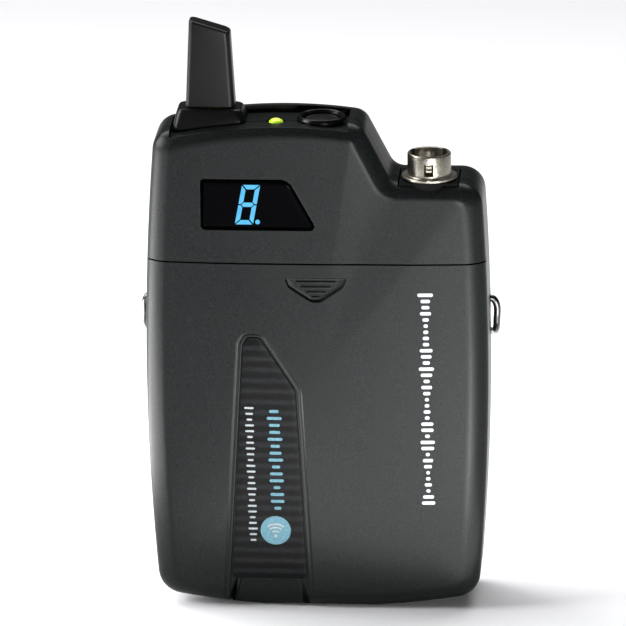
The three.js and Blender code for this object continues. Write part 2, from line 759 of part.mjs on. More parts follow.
const GRIP_TOP_Z = SEAM_Z - 2.7;
const GRIP_HALF_WIDTH = 6.1;
const GRIP_HEIGHT = 5;
const GRIP_DEPTH = 0.9;
const gripOutline = roundCorners([
  [-GRIP_HALF_WIDTH, GRIP_TOP_Z, 0],
  [-GRIP_HALF_WIDTH * 0.28, GRIP_TOP_Z - GRIP_HEIGHT, 1.2],
  [GRIP_HALF_WIDTH * 0.28, GRIP_TOP_Z - GRIP_HEIGHT, 1.2],
  [GRIP_HALF_WIDTH, GRIP_TOP_Z, 0],
]);

const tongueHeights = [SEAM_Z * 0.38, SEAM_Z * 0.78];

function batteryDoor() {
  let solid = SHELL.intersect(inFront(PARTING_Y - GAP / 2)).intersect(belowZ(SEAM_Z - GAP / 2));
  solid = solid.subtract(sunk(prismY(gripOutline, -FAR, PARTING_Y), GRIP_DEPTH));
  for (const share of [0.28, 0.5, 0.72]) {
    const z = GRIP_TOP_Z - GRIP_HEIGHT * share;
    const half = GRIP_HALF_WIDTH * (1 - share) * 0.8;
    const rib = [
      [-half, z - 0.25],
      [half, z - 0.25],
      [half, z + 0.25],
      [-half, z + 0.25],
    ];
    solid = solid.add(layer(prismY(rib, -FAR, PARTING_Y), GRIP_DEPTH - 0.4, GRIP_DEPTH + 0.3));
  }
  const channel = prismY(badgeOutline(CHANNEL_MARGIN, -WALL), -FAR, PARTING_Y);
  solid = solid.subtract(sunk(channel, CHANNEL_DEPTH));
  for (const z of tongueHeights) {
    const wallX = sideX(z) - WALL;
    const narrowest = Math.min(sideX(z + TONGUE_HEIGHT), sideX(z - DOOR_TRAVEL));
    const outer = narrowest - WALL - GAP;
    const inner = outer - TONGUE_THICK;
    const rootY = PARTING_Y - 3;
    const high = z + TONGUE_HEIGHT;
    const tongue = box(inner, outer, rootY, trayBackY, z, high).add(
      box(inner, wallX + WALL / 2, rootY, PARTING_Y - 0.5, z, high),
    );
    solid = solid.add(tongue).add(mirrored(tongue));
  }
  const knuckleX = CARRIER_HALF + GAP;
  const knuckleEndX = knuckleX + KNUCKLE_WIDTH;
  const knuckle = rodX(KNUCKLE_R, knuckleX, knuckleEndX, pivotY, PIVOT_Z).add(
    box(knuckleX, knuckleEndX, pivotY - KNUCKLE_R, pivotY, footZ(knuckleEndX) + GAP, PIVOT_Z),
  );
  const roomX = CARRIER_HALF - ARM_WIDTH - GAP;
  const armRoom = rodX(armSweep + GAP, roomX, knuckleX, pivotY, PIVOT_Z);
  const pinEnd = knuckleEndX + 1;
  return solid
    .subtract(armRoom)
    .subtract(mirrored(armRoom))
    .add(knuckle)
    .add(mirrored(knuckle))
    .subtract(rodX(HINGE_PIN_R + GAP, -pinEnd, pinEnd, pivotY, PIVOT_Z));
}

const doorBadge = () =>
  layer(
    prismY(badgeOutline(0, BADGE_LEFT_FOOT[1]), -FAR, PARTING_Y),
    BADGE_SINK,
    BADGE_SINK + BADGE_THICK,
  );

const padHalf = CELL_PITCH - PAD_INSET;
const padOutline = [
  [BAY_X - padHalf, FACE_MIDDLE_Z - PAD_HALF_HEIGHT],
  [BAY_X + padHalf, FACE_MIDDLE_Z - PAD_HALF_HEIGHT],
  [BAY_X + padHalf, FACE_MIDDLE_Z + PAD_HALF_HEIGHT],
  [BAY_X - padHalf, FACE_MIDDLE_Z + PAD_HALF_HEIGHT],
];
const doorPad = () =>
  layer(prismY(padOutline, -FAR, PARTING_Y), WALL + GAP, WALL + GAP + PAD_THICK);

function doorCarrier() {
  const armX = CARRIER_HALF - ARM_WIDTH;
  const low = PIVOT_Z - KNUCKLE_R;
  const plateZ = PIVOT_Z + 1;
  const plate = box(-CARRIER_HALF, CARRIER_HALF, carrierFrontY, carrierBackY, plateZ, CARRIER_TOP);
  const arm = box(armX, CARRIER_HALF, pivotY, carrierBackY, low, PIVOT_Z + KNUCKLE_R)
    .add(box(armX, CARRIER_HALF, carrierFrontY, carrierBackY, low, CARRIER_TOP))
    .add(rodX(KNUCKLE_R, armX, CARRIER_HALF, pivotY, PIVOT_Z));
  return plate
    .add(arm)
    .add(mirrored(arm))
    .subtract(rodX(HINGE_PIN_R + GAP, -FAR, FAR, pivotY, PIVOT_Z));
}

// ---------------------------------------------------------------- tray, cells and contacts

const cellY = FRONT_Y + WALL + GAP + PAD_THICK + 0.5 + CELL_R;
const bayLeft = BAY_X - CELL_PITCH / 2 - CELL_R - CELL_CLEARANCE;
const bayRight = BAY_X + CELL_PITCH / 2 + CELL_R + CELL_CLEARANCE;
const bayBackY = cellY + CELL_R + GAP;
const contactRoom = 2 * (CONTACT_THICK + GAP) + SPRING_LENGTH + 3 * GAP + CELL_NUB;
const bayTop = BAY_BOTTOM + contactRoom + CELL_LENGTH;
const trayEdgeX = sideX(BAY_BOTTOM) - WALL - 1;
const trayBottom = BAY_BOTTOM - BAY_WALL;
const trayTop = Math.max(bayTop + BAY_WALL, SEAM_Z - 2.2);

function batteryTray() {
  const bay = box(
    bayLeft - BAY_WALL,
    bayRight + BAY_WALL,
    trayFrontY,
    bayBackY + BAY_WALL,
    trayBottom,
    bayTop + BAY_WALL,
  );
  let solid = box(-trayEdgeX, trayEdgeX, trayFrontY, trayBackY, trayBottom, trayTop)
    .add(bay)
    .subtract(box(bayLeft, bayRight, -FAR, bayBackY, BAY_BOTTOM, bayTop));
  for (const [x, z] of lowerScrews) {
    solid = solid
      .add(rodY(BOSS_R - BOSS_WALL, trayFrontY - TRAY_BOSS, trayBackY, x, z))
      .subtract(rodY(SCREW_R + GAP, -FAR, FAR, x, z));
  }
  for (const [radius, z] of [
    [KEY_R + GAP, PAIR_Z],
    [KEY_R + GAP, CHANNEL_Z],
    [TRIM_R + GAP, LEVEL_Z],
  ]) {
    solid = solid.subtract(rodY(radius, -FAR, FAR, CONTROL_X, z));
  }
  return solid;
}

const leftCellX = BAY_X - CELL_PITCH / 2;
const rightCellX = BAY_X + CELL_PITCH / 2;
const contactBottomZ = BAY_BOTTOM + GAP;
const contactTopZ = bayTop - GAP - CONTACT_THICK;
const leftCellZ = contactBottomZ + CONTACT_THICK + GAP + SPRING_LENGTH + GAP;
const rightCellZ = contactBottomZ + CONTACT_THICK + GAP + CELL_NUB;

// An AA cell with its minus end at z = 0 and its plus nub at the top.
function cellSolid() {
  const profile = [
    [0, 0],
    [CELL_R - 0.5, 0],
    [CELL_R, 0.5],
    [CELL_R, CELL_LENGTH - CELL_NUB - 0.5],
    [CELL_R - 0.5, CELL_LENGTH - CELL_NUB],
    [CELL_NUB_R, CELL_LENGTH - CELL_NUB],
    [CELL_NUB_R, CELL_LENGTH],
    [0, CELL_LENGTH],
  ].map(([r, z]) => new THREE.Vector2(r, z));
  const geometry = new THREE.LatheGeometry(profile, 24);
  geometry.rotateX(Math.PI / 2);
  return solidOf(geometry);
}

// Tapered coil spring that stands on z = 0.
function coilSpring() {
  class Coil extends THREE.Curve {
    getPoint(t, target = new THREE.Vector3()) {
      const turn = t * SPRING_TURNS * 2 * Math.PI;
      const radius = THREE.MathUtils.lerp(CELL_R * 0.55, CELL_R * 0.28, t);
      const z = THREE.MathUtils.lerp(SPRING_WIRE_R, SPRING_LENGTH - SPRING_WIRE_R, t);
      return target.set(radius * Math.cos(turn), radius * Math.sin(turn), z);
    }
  }
  const section = new THREE.Shape().absarc(0, 0, SPRING_WIRE_R, 0, 2 * Math.PI);
  const geometry = new THREE.ExtrudeGeometry(section, {
    steps: 40,
    curveSegments: 3,
    extrudePath: new Coil(),
    bevelEnabled: false,
  });
  return solidOf(geometry);
}

// ---------------------------------------------------------------- boards

const boardBackY = BOARD_Y + BOARD_THICK;
const boardRight = sideX(BAY_BOTTOM) - WALL - 1;
const boardLeft = 0.6 - boardRight;
const boardTopZ = SHELF_Z + BOARD_ABOVE_SHELF;
const besideBay = bayRight + BAY_WALL + 0.8;
const besideSocket = SOCKET_X - SOCKET_OUTER_R - 3;
const besideBoss = upperScrews[0][0] + BOSS_R + 1;
const boardOutline = [
  [besideBay, lowerScrewZ + BOSS_R + 1.2],
  [boardRight, lowerScrewZ + BOSS_R + 1.2],
  [boardRight, SEAM_Z - 0.8],
  [besideSocket, SEAM_Z + 2],
  [besideSocket, SHELF_Z - 5],
  [NOTCH_TOP_X - 1.5, boardTopZ],
  [besideBoss, boardTopZ],
  [besideBoss, upperScrews[0][1] - BOSS_R - 1.4],
  [boardLeft, upperScrews[0][1] - BOSS_R - 1.4],
  [boardLeft, trayTop + 1],
  [besideBay, trayTop + 1],
];
const keySwitchY = trayBackY + GAP;

// ---------------------------------------------------------------- top fittings

const skirtR = BEZEL_OUTER_R + BEZEL_SKIRT;
const bezelFloorZ = Math.max(wellZ(BUTTON_X - skirtR), wellZ(BUTTON_X + skirtR));
const bezelTopZ = bezelFloorZ + GAP + BEZEL_HEIGHT;
const bezelBottomZ = bezelFloorZ - BEZEL_NECK;
const stemBottomZ = bezelFloorZ - STEM_LENGTH;

function buttonBezel() {
  const bore = BUTTON_R + GAP;
  const neck = BEZEL_OUTER_R - 2 * GAP;
  const profile = [
    [bore, bezelBottomZ],
    [neck, bezelBottomZ],
    [neck, bezelFloorZ + GAP],
    [skirtR, bezelFloorZ + GAP],
    [BEZEL_OUTER_R, bezelTopZ - 0.15],
    [BEZEL_OUTER_R - 0.2, bezelTopZ],
    [BEZEL_OUTER_R - 0.45, bezelTopZ],
    [bore, bezelTopZ - 0.35],
    [bore, bezelBottomZ],
  ].map(([r, z]) => new THREE.Vector2(r, z));
  const geometry = new THREE.LatheGeometry(profile, 32);
  geometry.rotateX(Math.PI / 2);
  return solidOf(geometry);
}

function powerButton() {
  const crown = bezelTopZ - BUTTON_SINK;
  const under = bezelBottomZ + 0.2;
  const dome = [
    [0, under],
    [BUTTON_R, under],
    [BUTTON_R, crown - 0.45],
    [BUTTON_R * 0.8, crown - 0.2],
    [BUTTON_R * 0.45, crown - 0.04],
    [0, crown],
  ].map(([r, z]) => new THREE.Vector2(r, z));
  const geometry = new THREE.LatheGeometry(dome, 32);
  geometry.rotateX(Math.PI / 2);
  return solidOf(geometry).add(rodZ(STEM_R, stemBottomZ, under + 0.2));
}

// The space around the metal strip, from z0 to z1.
function elementRoom(z0, z1) {
  const x = ELEMENT_WIDTH / 2 + GAP;
  const y = ELEMENT_THICK / 2 + GAP;
  return box(-x, x, -y, y, z0, z1);
}

function antennaBoot() {
  const baseZ = wellZ(ANTENNA_X);
  const flat = (z) => () => z;
  const lean = BOOT_WIDTH - 2 * BOOT_TAPER;
  const block = loft([
    roundedRing(0, 0, BOOT_WIDTH, BOOT_DEPTH, 1.4, flat(baseZ - 3)),
    roundedRing(0, 0, BOOT_WIDTH, BOOT_DEPTH, 1.4, flat(baseZ + 0.2)),
    roundedRing(0, 0, lean + 0.5, BOOT_DEPTH - 1.3, 1.4, flat(baseZ + BOOT_HEIGHT - 0.3)),
    roundedRing(0, 0, lean, BOOT_DEPTH - 1.8, 1.2, flat(baseZ + BOOT_HEIGHT)),
  ]);
  const ground = aboveTop(WELL_DEPTH - GAP, -CASE_WIDTH / 2, 0, -FAR, FAR).translate([
    -ANTENNA_X,
    -ANTENNA_Y,
    0,
  ]);
  const plugX = bootHoleX - 2 * GAP;
  const plugY = bootHoleY - 2 * GAP;
  const plug = box(-plugX, plugX, -plugY, plugY, baseZ - 2.4, baseZ + 1);
  return block.intersect(ground).add(plug).subtract(elementRoom(baseZ - 4, baseZ + FAR));
}

const bladeBottomZ = wellZ(ANTENNA_X) + BOOT_HEIGHT + GAP;
const bladeTopZ = bladeBottomZ + BLADE_HEIGHT;
const elementTopZ = bladeTopZ - ELEMENT_COVER;

function antennaBlade() {
  const topAt = (drop) => (x) => bladeTopZ - drop - (x + BLADE_TOP_WIDTH / 2) * BLADE_SLOPE;
  return loft([
    roundedRing(0, 0, BLADE_WIDTH, BLADE_DEPTH, 1.2, () => bladeBottomZ),
    roundedRing(0, 0, BLADE_TOP_WIDTH, BLADE_DEPTH - 0.5, 1.2, topAt(0.6)),
    roundedRing(0, 0, BLADE_TOP_WIDTH - 1, BLADE_DEPTH - 1.5, 1, topAt(0)),
  ]).subtract(elementRoom(bladeBottomZ - 1, elementTopZ + GAP));
}

// ---------------------------------------------------------------- socket

const flangeZ = SHELF_Z - shelfRecess + PLATE_THICK + 2 * GAP;
const rimZ = SHELF_Z + SOCKET_HEIGHT;
const insertTopZ = SHELF_Z - 1.5;
const socketLowZ = SHELF_Z - SOCKET_BELOW;

function socketShell() {
  const lowZ = socketLowZ;
  const threadR = SOCKET_OUTER_R - 0.2;
  const profile = [
    [SOCKET_BORE_R, lowZ],
    [threadR, lowZ],
    [threadR, flangeZ],
    [FLANGE_R, flangeZ],
    [FLANGE_R, flangeZ + FLANGE_THICK - 0.15],
    [FLANGE_R - 0.15, flangeZ + FLANGE_THICK],
    [SOCKET_OUTER_R, flangeZ + FLANGE_THICK],
    [SOCKET_OUTER_R, rimZ - 0.25],
    [SOCKET_OUTER_R - 0.2, rimZ],
    [SOCKET_BORE_R + 0.15, rimZ],
    [SOCKET_BORE_R, rimZ - 0.2],
    [SOCKET_BORE_R, lowZ],
  ].map(([r, z]) => new THREE.Vector2(r, z));
  const geometry = new THREE.LatheGeometry(profile, 36);
  geometry.rotateX(Math.PI / 2);
  const latchX = LATCH_WIDTH / 2;
  const latch = box(-latchX, latchX, -FLANGE_R, 0, flangeZ + FLANGE_THICK + 0.5, rimZ - 1.4);
  let solid = solidOf(geometry).subtract(latch);
  const slotX = KEY_SLOT_WIDTH / 2;
  const slot = box(-slotX, slotX, 0, SOCKET_BORE_R + SOCKET_WALL / 2, insertTopZ, rimZ + 1);
  for (const turn of [35, 155]) {
    solid = solid.subtract(slot.rotate([0, 0, turn]));
  }
  return solid;
}

const pinPlaces = spaced(0, 2 * Math.PI, SOCKET_PINS + 1)
  .slice(0, SOCKET_PINS)
  .map((turn) => turn + Math.PI / 4)
  .map((turn) => [SOCKET_PIN_CIRCLE_R * Math.cos(turn), SOCKET_PIN_CIRCLE_R * Math.sin(turn)]);

function socketInsert() {
  let solid = rodZ(SOCKET_BORE_R - GAP, socketLowZ, insertTopZ);
  for (const [x, y] of pinPlaces) {
    solid = solid.subtract(rodZ(SOCKET_PIN_R + GAP, 0, FAR, x, y, SOCKET_PIN_R + GAP, 12));
  }
  return solid;
}

// ---------------------------------------------------------------- belt clip

// Right half of the wire's route, from the end in the side hole to the middle of the foot.
const loopX = CASE_WIDTH / 2 + CLIP_REACH - CLIP_WIRE_R;
const clipBackY = BACK_Y + CLIP_STAND_OFF + CLIP_WIRE_R;
const clipEndX = sideX(CLIP_AXIS_Z) - WALL - 1.2;

function clipRoute() {
  const dropZ = CLIP_AXIS_Z - 6;
  const armZ = CLIP_AXIS_Z - 8.4;
  return [
    [clipEndX, CLIP_AXIS_Y, CLIP_AXIS_Z],
    [clipEndX + 2, CLIP_AXIS_Y, CLIP_AXIS_Z],
    [loopX - 0.8, CLIP_AXIS_Y, CLIP_AXIS_Z],
    [loopX, CLIP_AXIS_Y + 0.2, CLIP_AXIS_Z - 1.3],
    [loopX, CLIP_AXIS_Y + 0.8, dropZ + 1.5],
    [loopX - 0.2, CLIP_AXIS_Y + 2.4, dropZ - 0.8],
    [loopX - 0.9, clipBackY - 3.2, armZ],
    [loopX - 3.6, clipBackY - 0.5, armZ - 0.3],
    [CLIP_HALF_WIDTH + 7, clipBackY, armZ - 1],
    [CLIP_HALF_WIDTH + 1.6, clipBackY, armZ - 3],
    [CLIP_HALF_WIDTH, clipBackY - 0.2, armZ - 8],
    [CLIP_HALF_WIDTH - 0.8, clipBackY - 0.8, (armZ + CLIP_FOOT_Z) / 2],
    [CLIP_HALF_WIDTH - 1.6, BACK_Y + CLIP_WIRE_R + 0.5, CLIP_FOOT_Z + 8],
    [CLIP_HALF_WIDTH - 2.6, BACK_Y + CLIP_WIRE_R + 0.8, CLIP_FOOT_Z + 2.6],
    [CLIP_HALF_WIDTH - 6, BACK_Y + CLIP_WIRE_R + 1.6, CLIP_FOOT_Z + 0.2],
    [3, BACK_Y + CLIP_WIRE_R + 1.8, CLIP_FOOT_Z],
  ];
}

function beltClip() {
  const right = clipRoute().map(([x, y, z]) => new THREE.Vector3(x, y, z));
  const left = right.map((p) => new THREE.Vector3(-p.x, p.y, p.z)).reverse();
  const route = new THREE.CatmullRomCurve3([...right, ...left], false, "centripetal");
  const section = new THREE.Shape().absarc(0, 0, CLIP_WIRE_R, 0, 2 * Math.PI);
  const geometry = new THREE.ExtrudeGeometry(section, {
    steps: 96,
    curveSegments: 4,
    extrudePath: route,
    bevelEnabled: false,
  });
  return solidOf(geometry);
}

// ---------------------------------------------------------------- assembly

const bodypack = new THREE.Group();

function addGroup(x, y, z) {
  const group = new THREE.Group();
  group.position.set(x, y, z);
  bodypack.add(group);
  return group;
}

addPiece(bodypack, "rear_case", rearCase(), casePlastic);
addPiece(bodypack, "front_case", frontCase(), casePlastic);
addPiece(bodypack, "rear_label", layer(
  prismY(insetOutline(labelOutline, GAP), 0, FAR),
  LABEL_SEAT - LABEL_THICK - LABEL_UNDER, LABEL_SEAT - LABEL_UNDER), labelSheet);

// Display stack
addPiece(bodypack, "display_window", layer(
  prismY(windowOutline(GAP / 2), -FAR, PARTING_Y), WINDOW_SINK, WALL - 0.2), glossBlack);
addPiece(bodypack, "display_digit", displayDigit(), digitBlue);
addPiece(bodypack, "display_module", box(
  WINDOW_LEFT + 1, WINDOW_LEFT + WINDOW_TOP_WIDTH + 1, displayFrontY, displayBackY,
  WINDOW_BOTTOM + 0.3, WINDOW_TOP - 0.3), softBlack);
const bossRoom = rodY(BOSS_R, -FAR, FAR, ...upperScrews[0]);
addPiece(bodypack, "display_board", box(
  WINDOW_LEFT - 1, WINDOW_LEFT + WINDOW_FOOT_WIDTH, displayBoardY, displayBoardY + BOARD_THICK,
  WINDOW_BOTTOM - 4, WINDOW_TOP + 0.4).subtract(bossRoom), boardGreen);
addPiece(bodypack, "board_header", box(
  DIGIT_X - 5, DIGIT_X + 5, displayBoardY + BOARD_THICK + GAP, BOARD_Y - GAP,
  WINDOW_BOTTOM - 3, WINDOW_BOTTOM - 1), trayPlastic);

// Boards
addPiece(bodypack, "main_board", prismY(boardOutline, BOARD_Y, boardBackY), boardGreen);
const partY = boardBackY + GAP;
const shieldZ = SEAM_Z + 3;
addPiece(bodypack, "radio_shield", box(
  SHIELD_LEFT_X, SHIELD_LEFT_X + SHIELD_WIDTH, partY, partY + SHIELD_THICK,
  shieldZ, shieldZ + SHIELD_HEIGHT), zinc);
const chipZ = SEAM_Z + 4;
addPiece(bodypack, "processor", box(
  0, CHIP_WIDTH, partY, partY + CHIP_THICK, chipZ, chipZ + CHIP_WIDTH), softBlack);

// Antenna
const antenna = addGroup(ANTENNA_X, ANTENNA_Y, 0);
addPiece(antenna, "antenna_boot", antennaBoot(), softBlack);
addPiece(antenna, "antenna_blade", antennaBlade(), softBlack);
addPiece(antenna, "antenna_element", box(
  -ELEMENT_WIDTH / 2, ELEMENT_WIDTH / 2, -ELEMENT_THICK / 2, ELEMENT_THICK / 2,
  boardTopZ + GAP, elementTopZ), gold);

// Push button
const button = addGroup(BUTTON_X, BUTTON_Y, 0);
addPiece(button, "button_bezel", buttonBezel(), softBlack);
addPiece(button, "power_button", powerButton(), softBlack);
const switchTopZ = stemBottomZ - BUTTON_TRAVEL - GAP;
const switchHalf = SWITCH_WIDTH / 2;
addPiece(button, "power_switch", box(
  -switchHalf, switchHalf, -switchHalf, BOARD_Y - GAP - BUTTON_Y, switchTopZ - 3.4, switchTopZ,
), trayPlastic);

// Indicator
const indicator = addGroup(LED_X, PARTING_Y, wellZ(LED_X));
const lensProfile = [
  [0, -LENS_LENGTH],
  [LED_R - 0.3, -LENS_LENGTH],
  [LED_R, -0.4],
  [LED_R, 0.05],
  [LED_R * 0.6, 0.4],
  [0, 0.55],
].map(([r, z]) => new THREE.Vector2(r, z));
addPiece(indicator, "indicator_lens", solidOf(
  new THREE.LatheGeometry(lensProfile, 16).rotateX(Math.PI / 2)), ledGreen);
addPiece(indicator, "indicator_led", box(
  -1, 1, -1, BOARD_Y - GAP - PARTING_Y, -LENS_LENGTH - GAP - 1.8, -LENS_LENGTH - GAP), zinc);

// Microphone socket
const socket = addGroup(SOCKET_X, socketY, 0);
addPiece(socket, "socket_shell", socketShell(), nickel);
addPiece(socket, "socket_insert", socketInsert(), trayPlastic);
pinPlaces.forEach(([x, y], i) => {
  addPiece(socket, `socket_pin_${i + 1}`, rodZ(
    SOCKET_PIN_R, socketLowZ - PIN_TAIL, SHELF_Z + PIN_RISE, x, y, SOCKET_PIN_R, 10), gold);
});
const plateX = PLATE_WIDTH / 2;
const plateZ = SHELF_Z - shelfRecess + GAP;
addPiece(socket, "socket_plate", box(
  -plateX, plateX, PLATE_SHIFT - PLATE_DEPTH / 2, PLATE_SHIFT + PLATE_DEPTH / 2,
  plateZ, plateZ + PLATE_THICK,
).subtract(rodZ(SOCKET_OUTER_R + GAP, 0, FAR)), trayPlastic);
const retainerTopZ = SHELF_Z - shelfRecess - WALL - GAP;
const faceInsideY = FRONT_Y + FACE_CROWN + WALL;
addPiece(socket, "socket_retainer", box(
  -plateX, plateX, faceInsideY + GAP - socketY, SOCKET_OUTER_R + RETAINER_WEB,
  retainerTopZ - RETAINER_THICK, retainerTopZ,
).subtract(rodZ(SOCKET_OUTER_R + GAP - 0.2, 0, FAR)), brightNickel);

// Tray, cells and contacts
addPiece(bodypack, "battery_tray", batteryTray(), trayPlastic);
const leftCell = addGroup(leftCellX, cellY, leftCellZ);
addPiece(leftCell, "cell_left", cellSolid(), cellJacket);
const rightCell = addGroup(rightCellX, cellY, rightCellZ + CELL_LENGTH - CELL_NUB);
rightCell.rotation.x = Math.PI;
addPiece(rightCell, "cell_right", cellSolid(), cellJacket);
const lowerSpring = addGroup(leftCellX, cellY, contactBottomZ + CONTACT_THICK + GAP);
addPiece(lowerSpring, "cell_spring_left", coilSpring(), brightNickel);
const upperSpring = addGroup(rightCellX, cellY, contactTopZ - GAP);
upperSpring.rotation.x = Math.PI;
addPiece(upperSpring, "cell_spring_right", coilSpring(), brightNickel);
const contactPlate = (fromX, toX, z) => box(
  fromX - CONTACT_WIDTH / 2, toX + CONTACT_WIDTH / 2,
  cellY - CONTACT_DEPTH / 2, cellY + CONTACT_DEPTH / 2, z, z + CONTACT_THICK);
for (const [name, fromX, toX, z] of [
  ["contact_bridge", leftCellX, rightCellX, contactBottomZ],
  ["contact_plus", leftCellX, leftCellX, contactTopZ],
  ["contact_minus", rightCellX, rightCellX, contactTopZ],
]) {
  addPiece(bodypack, name, contactPlate(fromX, toX, z), brightNickel);
}

// Battery door with its hinge
addPiece(bodypack, "battery_door", batteryDoor(), doorPlastic);
addPiece(bodypack, "door_badge", doorBadge(), badgeSheet);
addPiece(bodypack, "door_pad", doorPad(), foam);
addPiece(bodypack, "door_carrier", doorCarrier(), trayPlastic);
const pinReach = CARRIER_HALF + GAP + KNUCKLE_WIDTH + 0.3;
for (const [side, name] of [
  [1, "hinge_pin_right"],
  [-1, "hinge_pin_left"],
]) {
  const pin = rodX(HINGE_PIN_R, CARRIER_HALF - ARM_WIDTH - 0.3, pinReach, pivotY, PIVOT_Z);
  addPiece(bodypack, name, side > 0 ? pin : mirrored(pin), brightNickel);
}

// Controls behind the door
for (const [name, z] of [
  ["pair", PAIR_Z],
  ["channel", CHANNEL_Z],
]) {
  const control = addGroup(CONTROL_X, 0, z);
  addPiece(control, `${name}_key`, rodY(KEY_R, trayFrontY - 0.9, trayBackY - 0.1, 0, 0), keyGrey);
  addPiece(control, `${name}_switch`, box(
    -switchHalf, switchHalf, keySwitchY + KEY_TRAVEL, BOARD_Y - GAP,
    -switchHalf, switchHalf), trayPlastic);
}
const level = addGroup(CONTROL_X, 0, LEVEL_Z);
const trimHalf = TRIM_WIDTH / 2;
addPiece(level, "level_trim", box(
  -trimHalf, trimHalf, keySwitchY, BOARD_Y - GAP, -trimHalf, trimHalf), trimBlue);
const knobSlot = box(-0.35, 0.35, -FAR, trayFrontY + 0.2, -TRIM_R, TRIM_R * 0.5);
addPiece(level, "level_knob", rodY(
  TRIM_R - 0.2, trayFrontY - 0.6, keySwitchY - GAP, 0, 0).subtract(knobSlot), keyGrey);

// Belt clip
addPiece(bodypack, "belt_clip", beltClip(), blackSteel);
const bush = rodX(BUSH_R, clipEndX - 0.6, sideX(CLIP_AXIS_Z) - 0.1, CLIP_AXIS_Y, CLIP_AXIS_Z, 20)
  .subtract(rodX(CLIP_WIRE_R + GAP, 0, FAR, CLIP_AXIS_Y, CLIP_AXIS_Z, 16));
addPiece(bodypack, "clip_bush_right", bush, trayPlastic);
addPiece(bodypack, "clip_bush_left", mirrored(bush), trayPlastic);

// Screws, put in from the back
[...upperScrews, ...lowerScrews].forEach(([x, z], i) => {
  const screw = addGroup(x, SCREW_SEAT_Y, z);
  const reach = z > SEAM_Z ? SCREW_REACH : TRAY_BOSS;
  const tipY = PARTING_Y - SCREW_SEAT_Y - reach;
  const slotY = GAP + SCREW_HEAD - SCREW_SLOT;
  const wide = SCREW_HEAD_R - 0.7;
  const narrow = SCREW_SLOT / 2;
  const solid = rodY(SCREW_HEAD_R, GAP, GAP + SCREW_HEAD, 0, 0)
    .add(rodY(SCREW_R, tipY, GAP + SCREW_HEAD / 2, 0, 0, 12))
    .subtract(box(-wide, wide, slotY, FAR, -narrow, narrow))
    .subtract(box(-narrow, narrow, slotY, FAR, -wide, wide));
  addPiece(screw, `case_screw_${i + 1}`, solid, zinc);
});

export default bodypack;
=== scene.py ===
"""Wireless bodypack transmitter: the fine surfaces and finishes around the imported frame.

Lengths in this file are millimetres until a mesh is made, which is in metres. X is to the
right, Y to the belt side and Z up, as in the frame.
"""

import math

import bmesh
import bpy
import numpy as np
from mathutils import Matrix, Vector


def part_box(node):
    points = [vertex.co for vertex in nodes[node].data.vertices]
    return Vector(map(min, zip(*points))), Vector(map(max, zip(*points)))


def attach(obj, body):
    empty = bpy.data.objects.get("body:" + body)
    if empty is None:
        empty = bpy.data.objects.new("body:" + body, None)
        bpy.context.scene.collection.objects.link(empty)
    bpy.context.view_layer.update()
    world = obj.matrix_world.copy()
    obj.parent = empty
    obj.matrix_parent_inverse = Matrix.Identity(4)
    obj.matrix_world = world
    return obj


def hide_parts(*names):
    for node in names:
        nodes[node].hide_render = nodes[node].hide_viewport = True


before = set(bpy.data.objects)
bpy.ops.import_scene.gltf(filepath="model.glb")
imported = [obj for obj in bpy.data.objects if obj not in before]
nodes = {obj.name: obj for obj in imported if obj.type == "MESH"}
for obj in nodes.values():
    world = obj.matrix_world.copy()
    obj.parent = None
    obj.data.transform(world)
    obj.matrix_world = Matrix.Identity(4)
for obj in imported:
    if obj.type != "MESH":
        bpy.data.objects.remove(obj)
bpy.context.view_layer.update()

MM = 0.001


# ------------------------------------------------------------------ rear case
# The belt-side half of the case, moulded in black ABS with a fine spark-eroded grain.
# It holds the boards and the battery tray, and four screws from the back close it.

CASE_HEIGHT = 98.5
HALF_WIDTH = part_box("rear_case")[1].x / MM
BACK_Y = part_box("rear_case")[1].y / MM
FRONT_Y = -BACK_Y
PARTING_Y = -3.5
SEAM_Z = 70.4
SHELF_Z = 86.0
GAP = 0.3
WALL = 1.8
ROOF = 3.1  # thickness of the top, under the well
FACE_ROUND = 3.0
FACE_CROWN = 1.4  # how far back the face's edge lies
FACE_HIGH = 0.19  # and its highest point
FACE_MIDDLE_Z = CASE_HEIGHT / 2 - 2
BACK_ROUND = 4.0
BACK_ROUND_IN = 3.3  # the back's round-over is a little flatter across than deep
LEVEL_Y = 3.0  # the top is level from -LEVEL_Y to LEVEL_Y, and falls outside that
NOTCH_X = HALF_WIDTH - 24.4
WELL_DEPTH = 1.4


def linear(colour):
    """sRGB hex colour as linear RGBA: c / 12.92 below 0.04045, else ((c + 0.055) / 1.055) ** 2.4."""
    srgb = np.array([int(colour[i : i + 2], 16) for i in (1, 3, 5)]) / 255
    rgb = np.where(srgb <= 0.04045, srgb / 12.92, ((srgb + 0.055) / 1.055) ** 2.4)
    return (*rgb.tolist(), 1.0)


def add(tree, kind, inputs=(), feeds=(), **settings):
    """Adds a shader node. Inputs are (socket, value) pairs, where a value may be a socket to link.
    Feeds names one of its outputs and the socket of the material's shader that it goes to."""
    made = tree.nodes.new(kind)
    for name, value in settings.items():
        setattr(made, name, value)
    for socket, value in inputs:
        if isinstance(value, bpy.types.NodeSocket):
            tree.links.new(value, made.inputs[socket])
        else:
            made.inputs[socket].default_value = value
    if feeds:
        tree.links.new(made.outputs[feeds[0]], tree.nodes["Principled BSDF"].inputs[feeds[1]])
    return made


def start_material(name, **sockets):
    """A new material with its shader's values, its node tree and the piece's own place in metres."""
    material = bpy.data.materials.new(name)
    material.use_nodes = True
    tree = material.node_tree
    for socket, value in sockets.items():
        tree.nodes["Principled BSDF"].inputs[socket.replace("_", " ")].default_value = value
    return material, tree, add(tree, "ShaderNodeTexCoord").outputs["Object"]


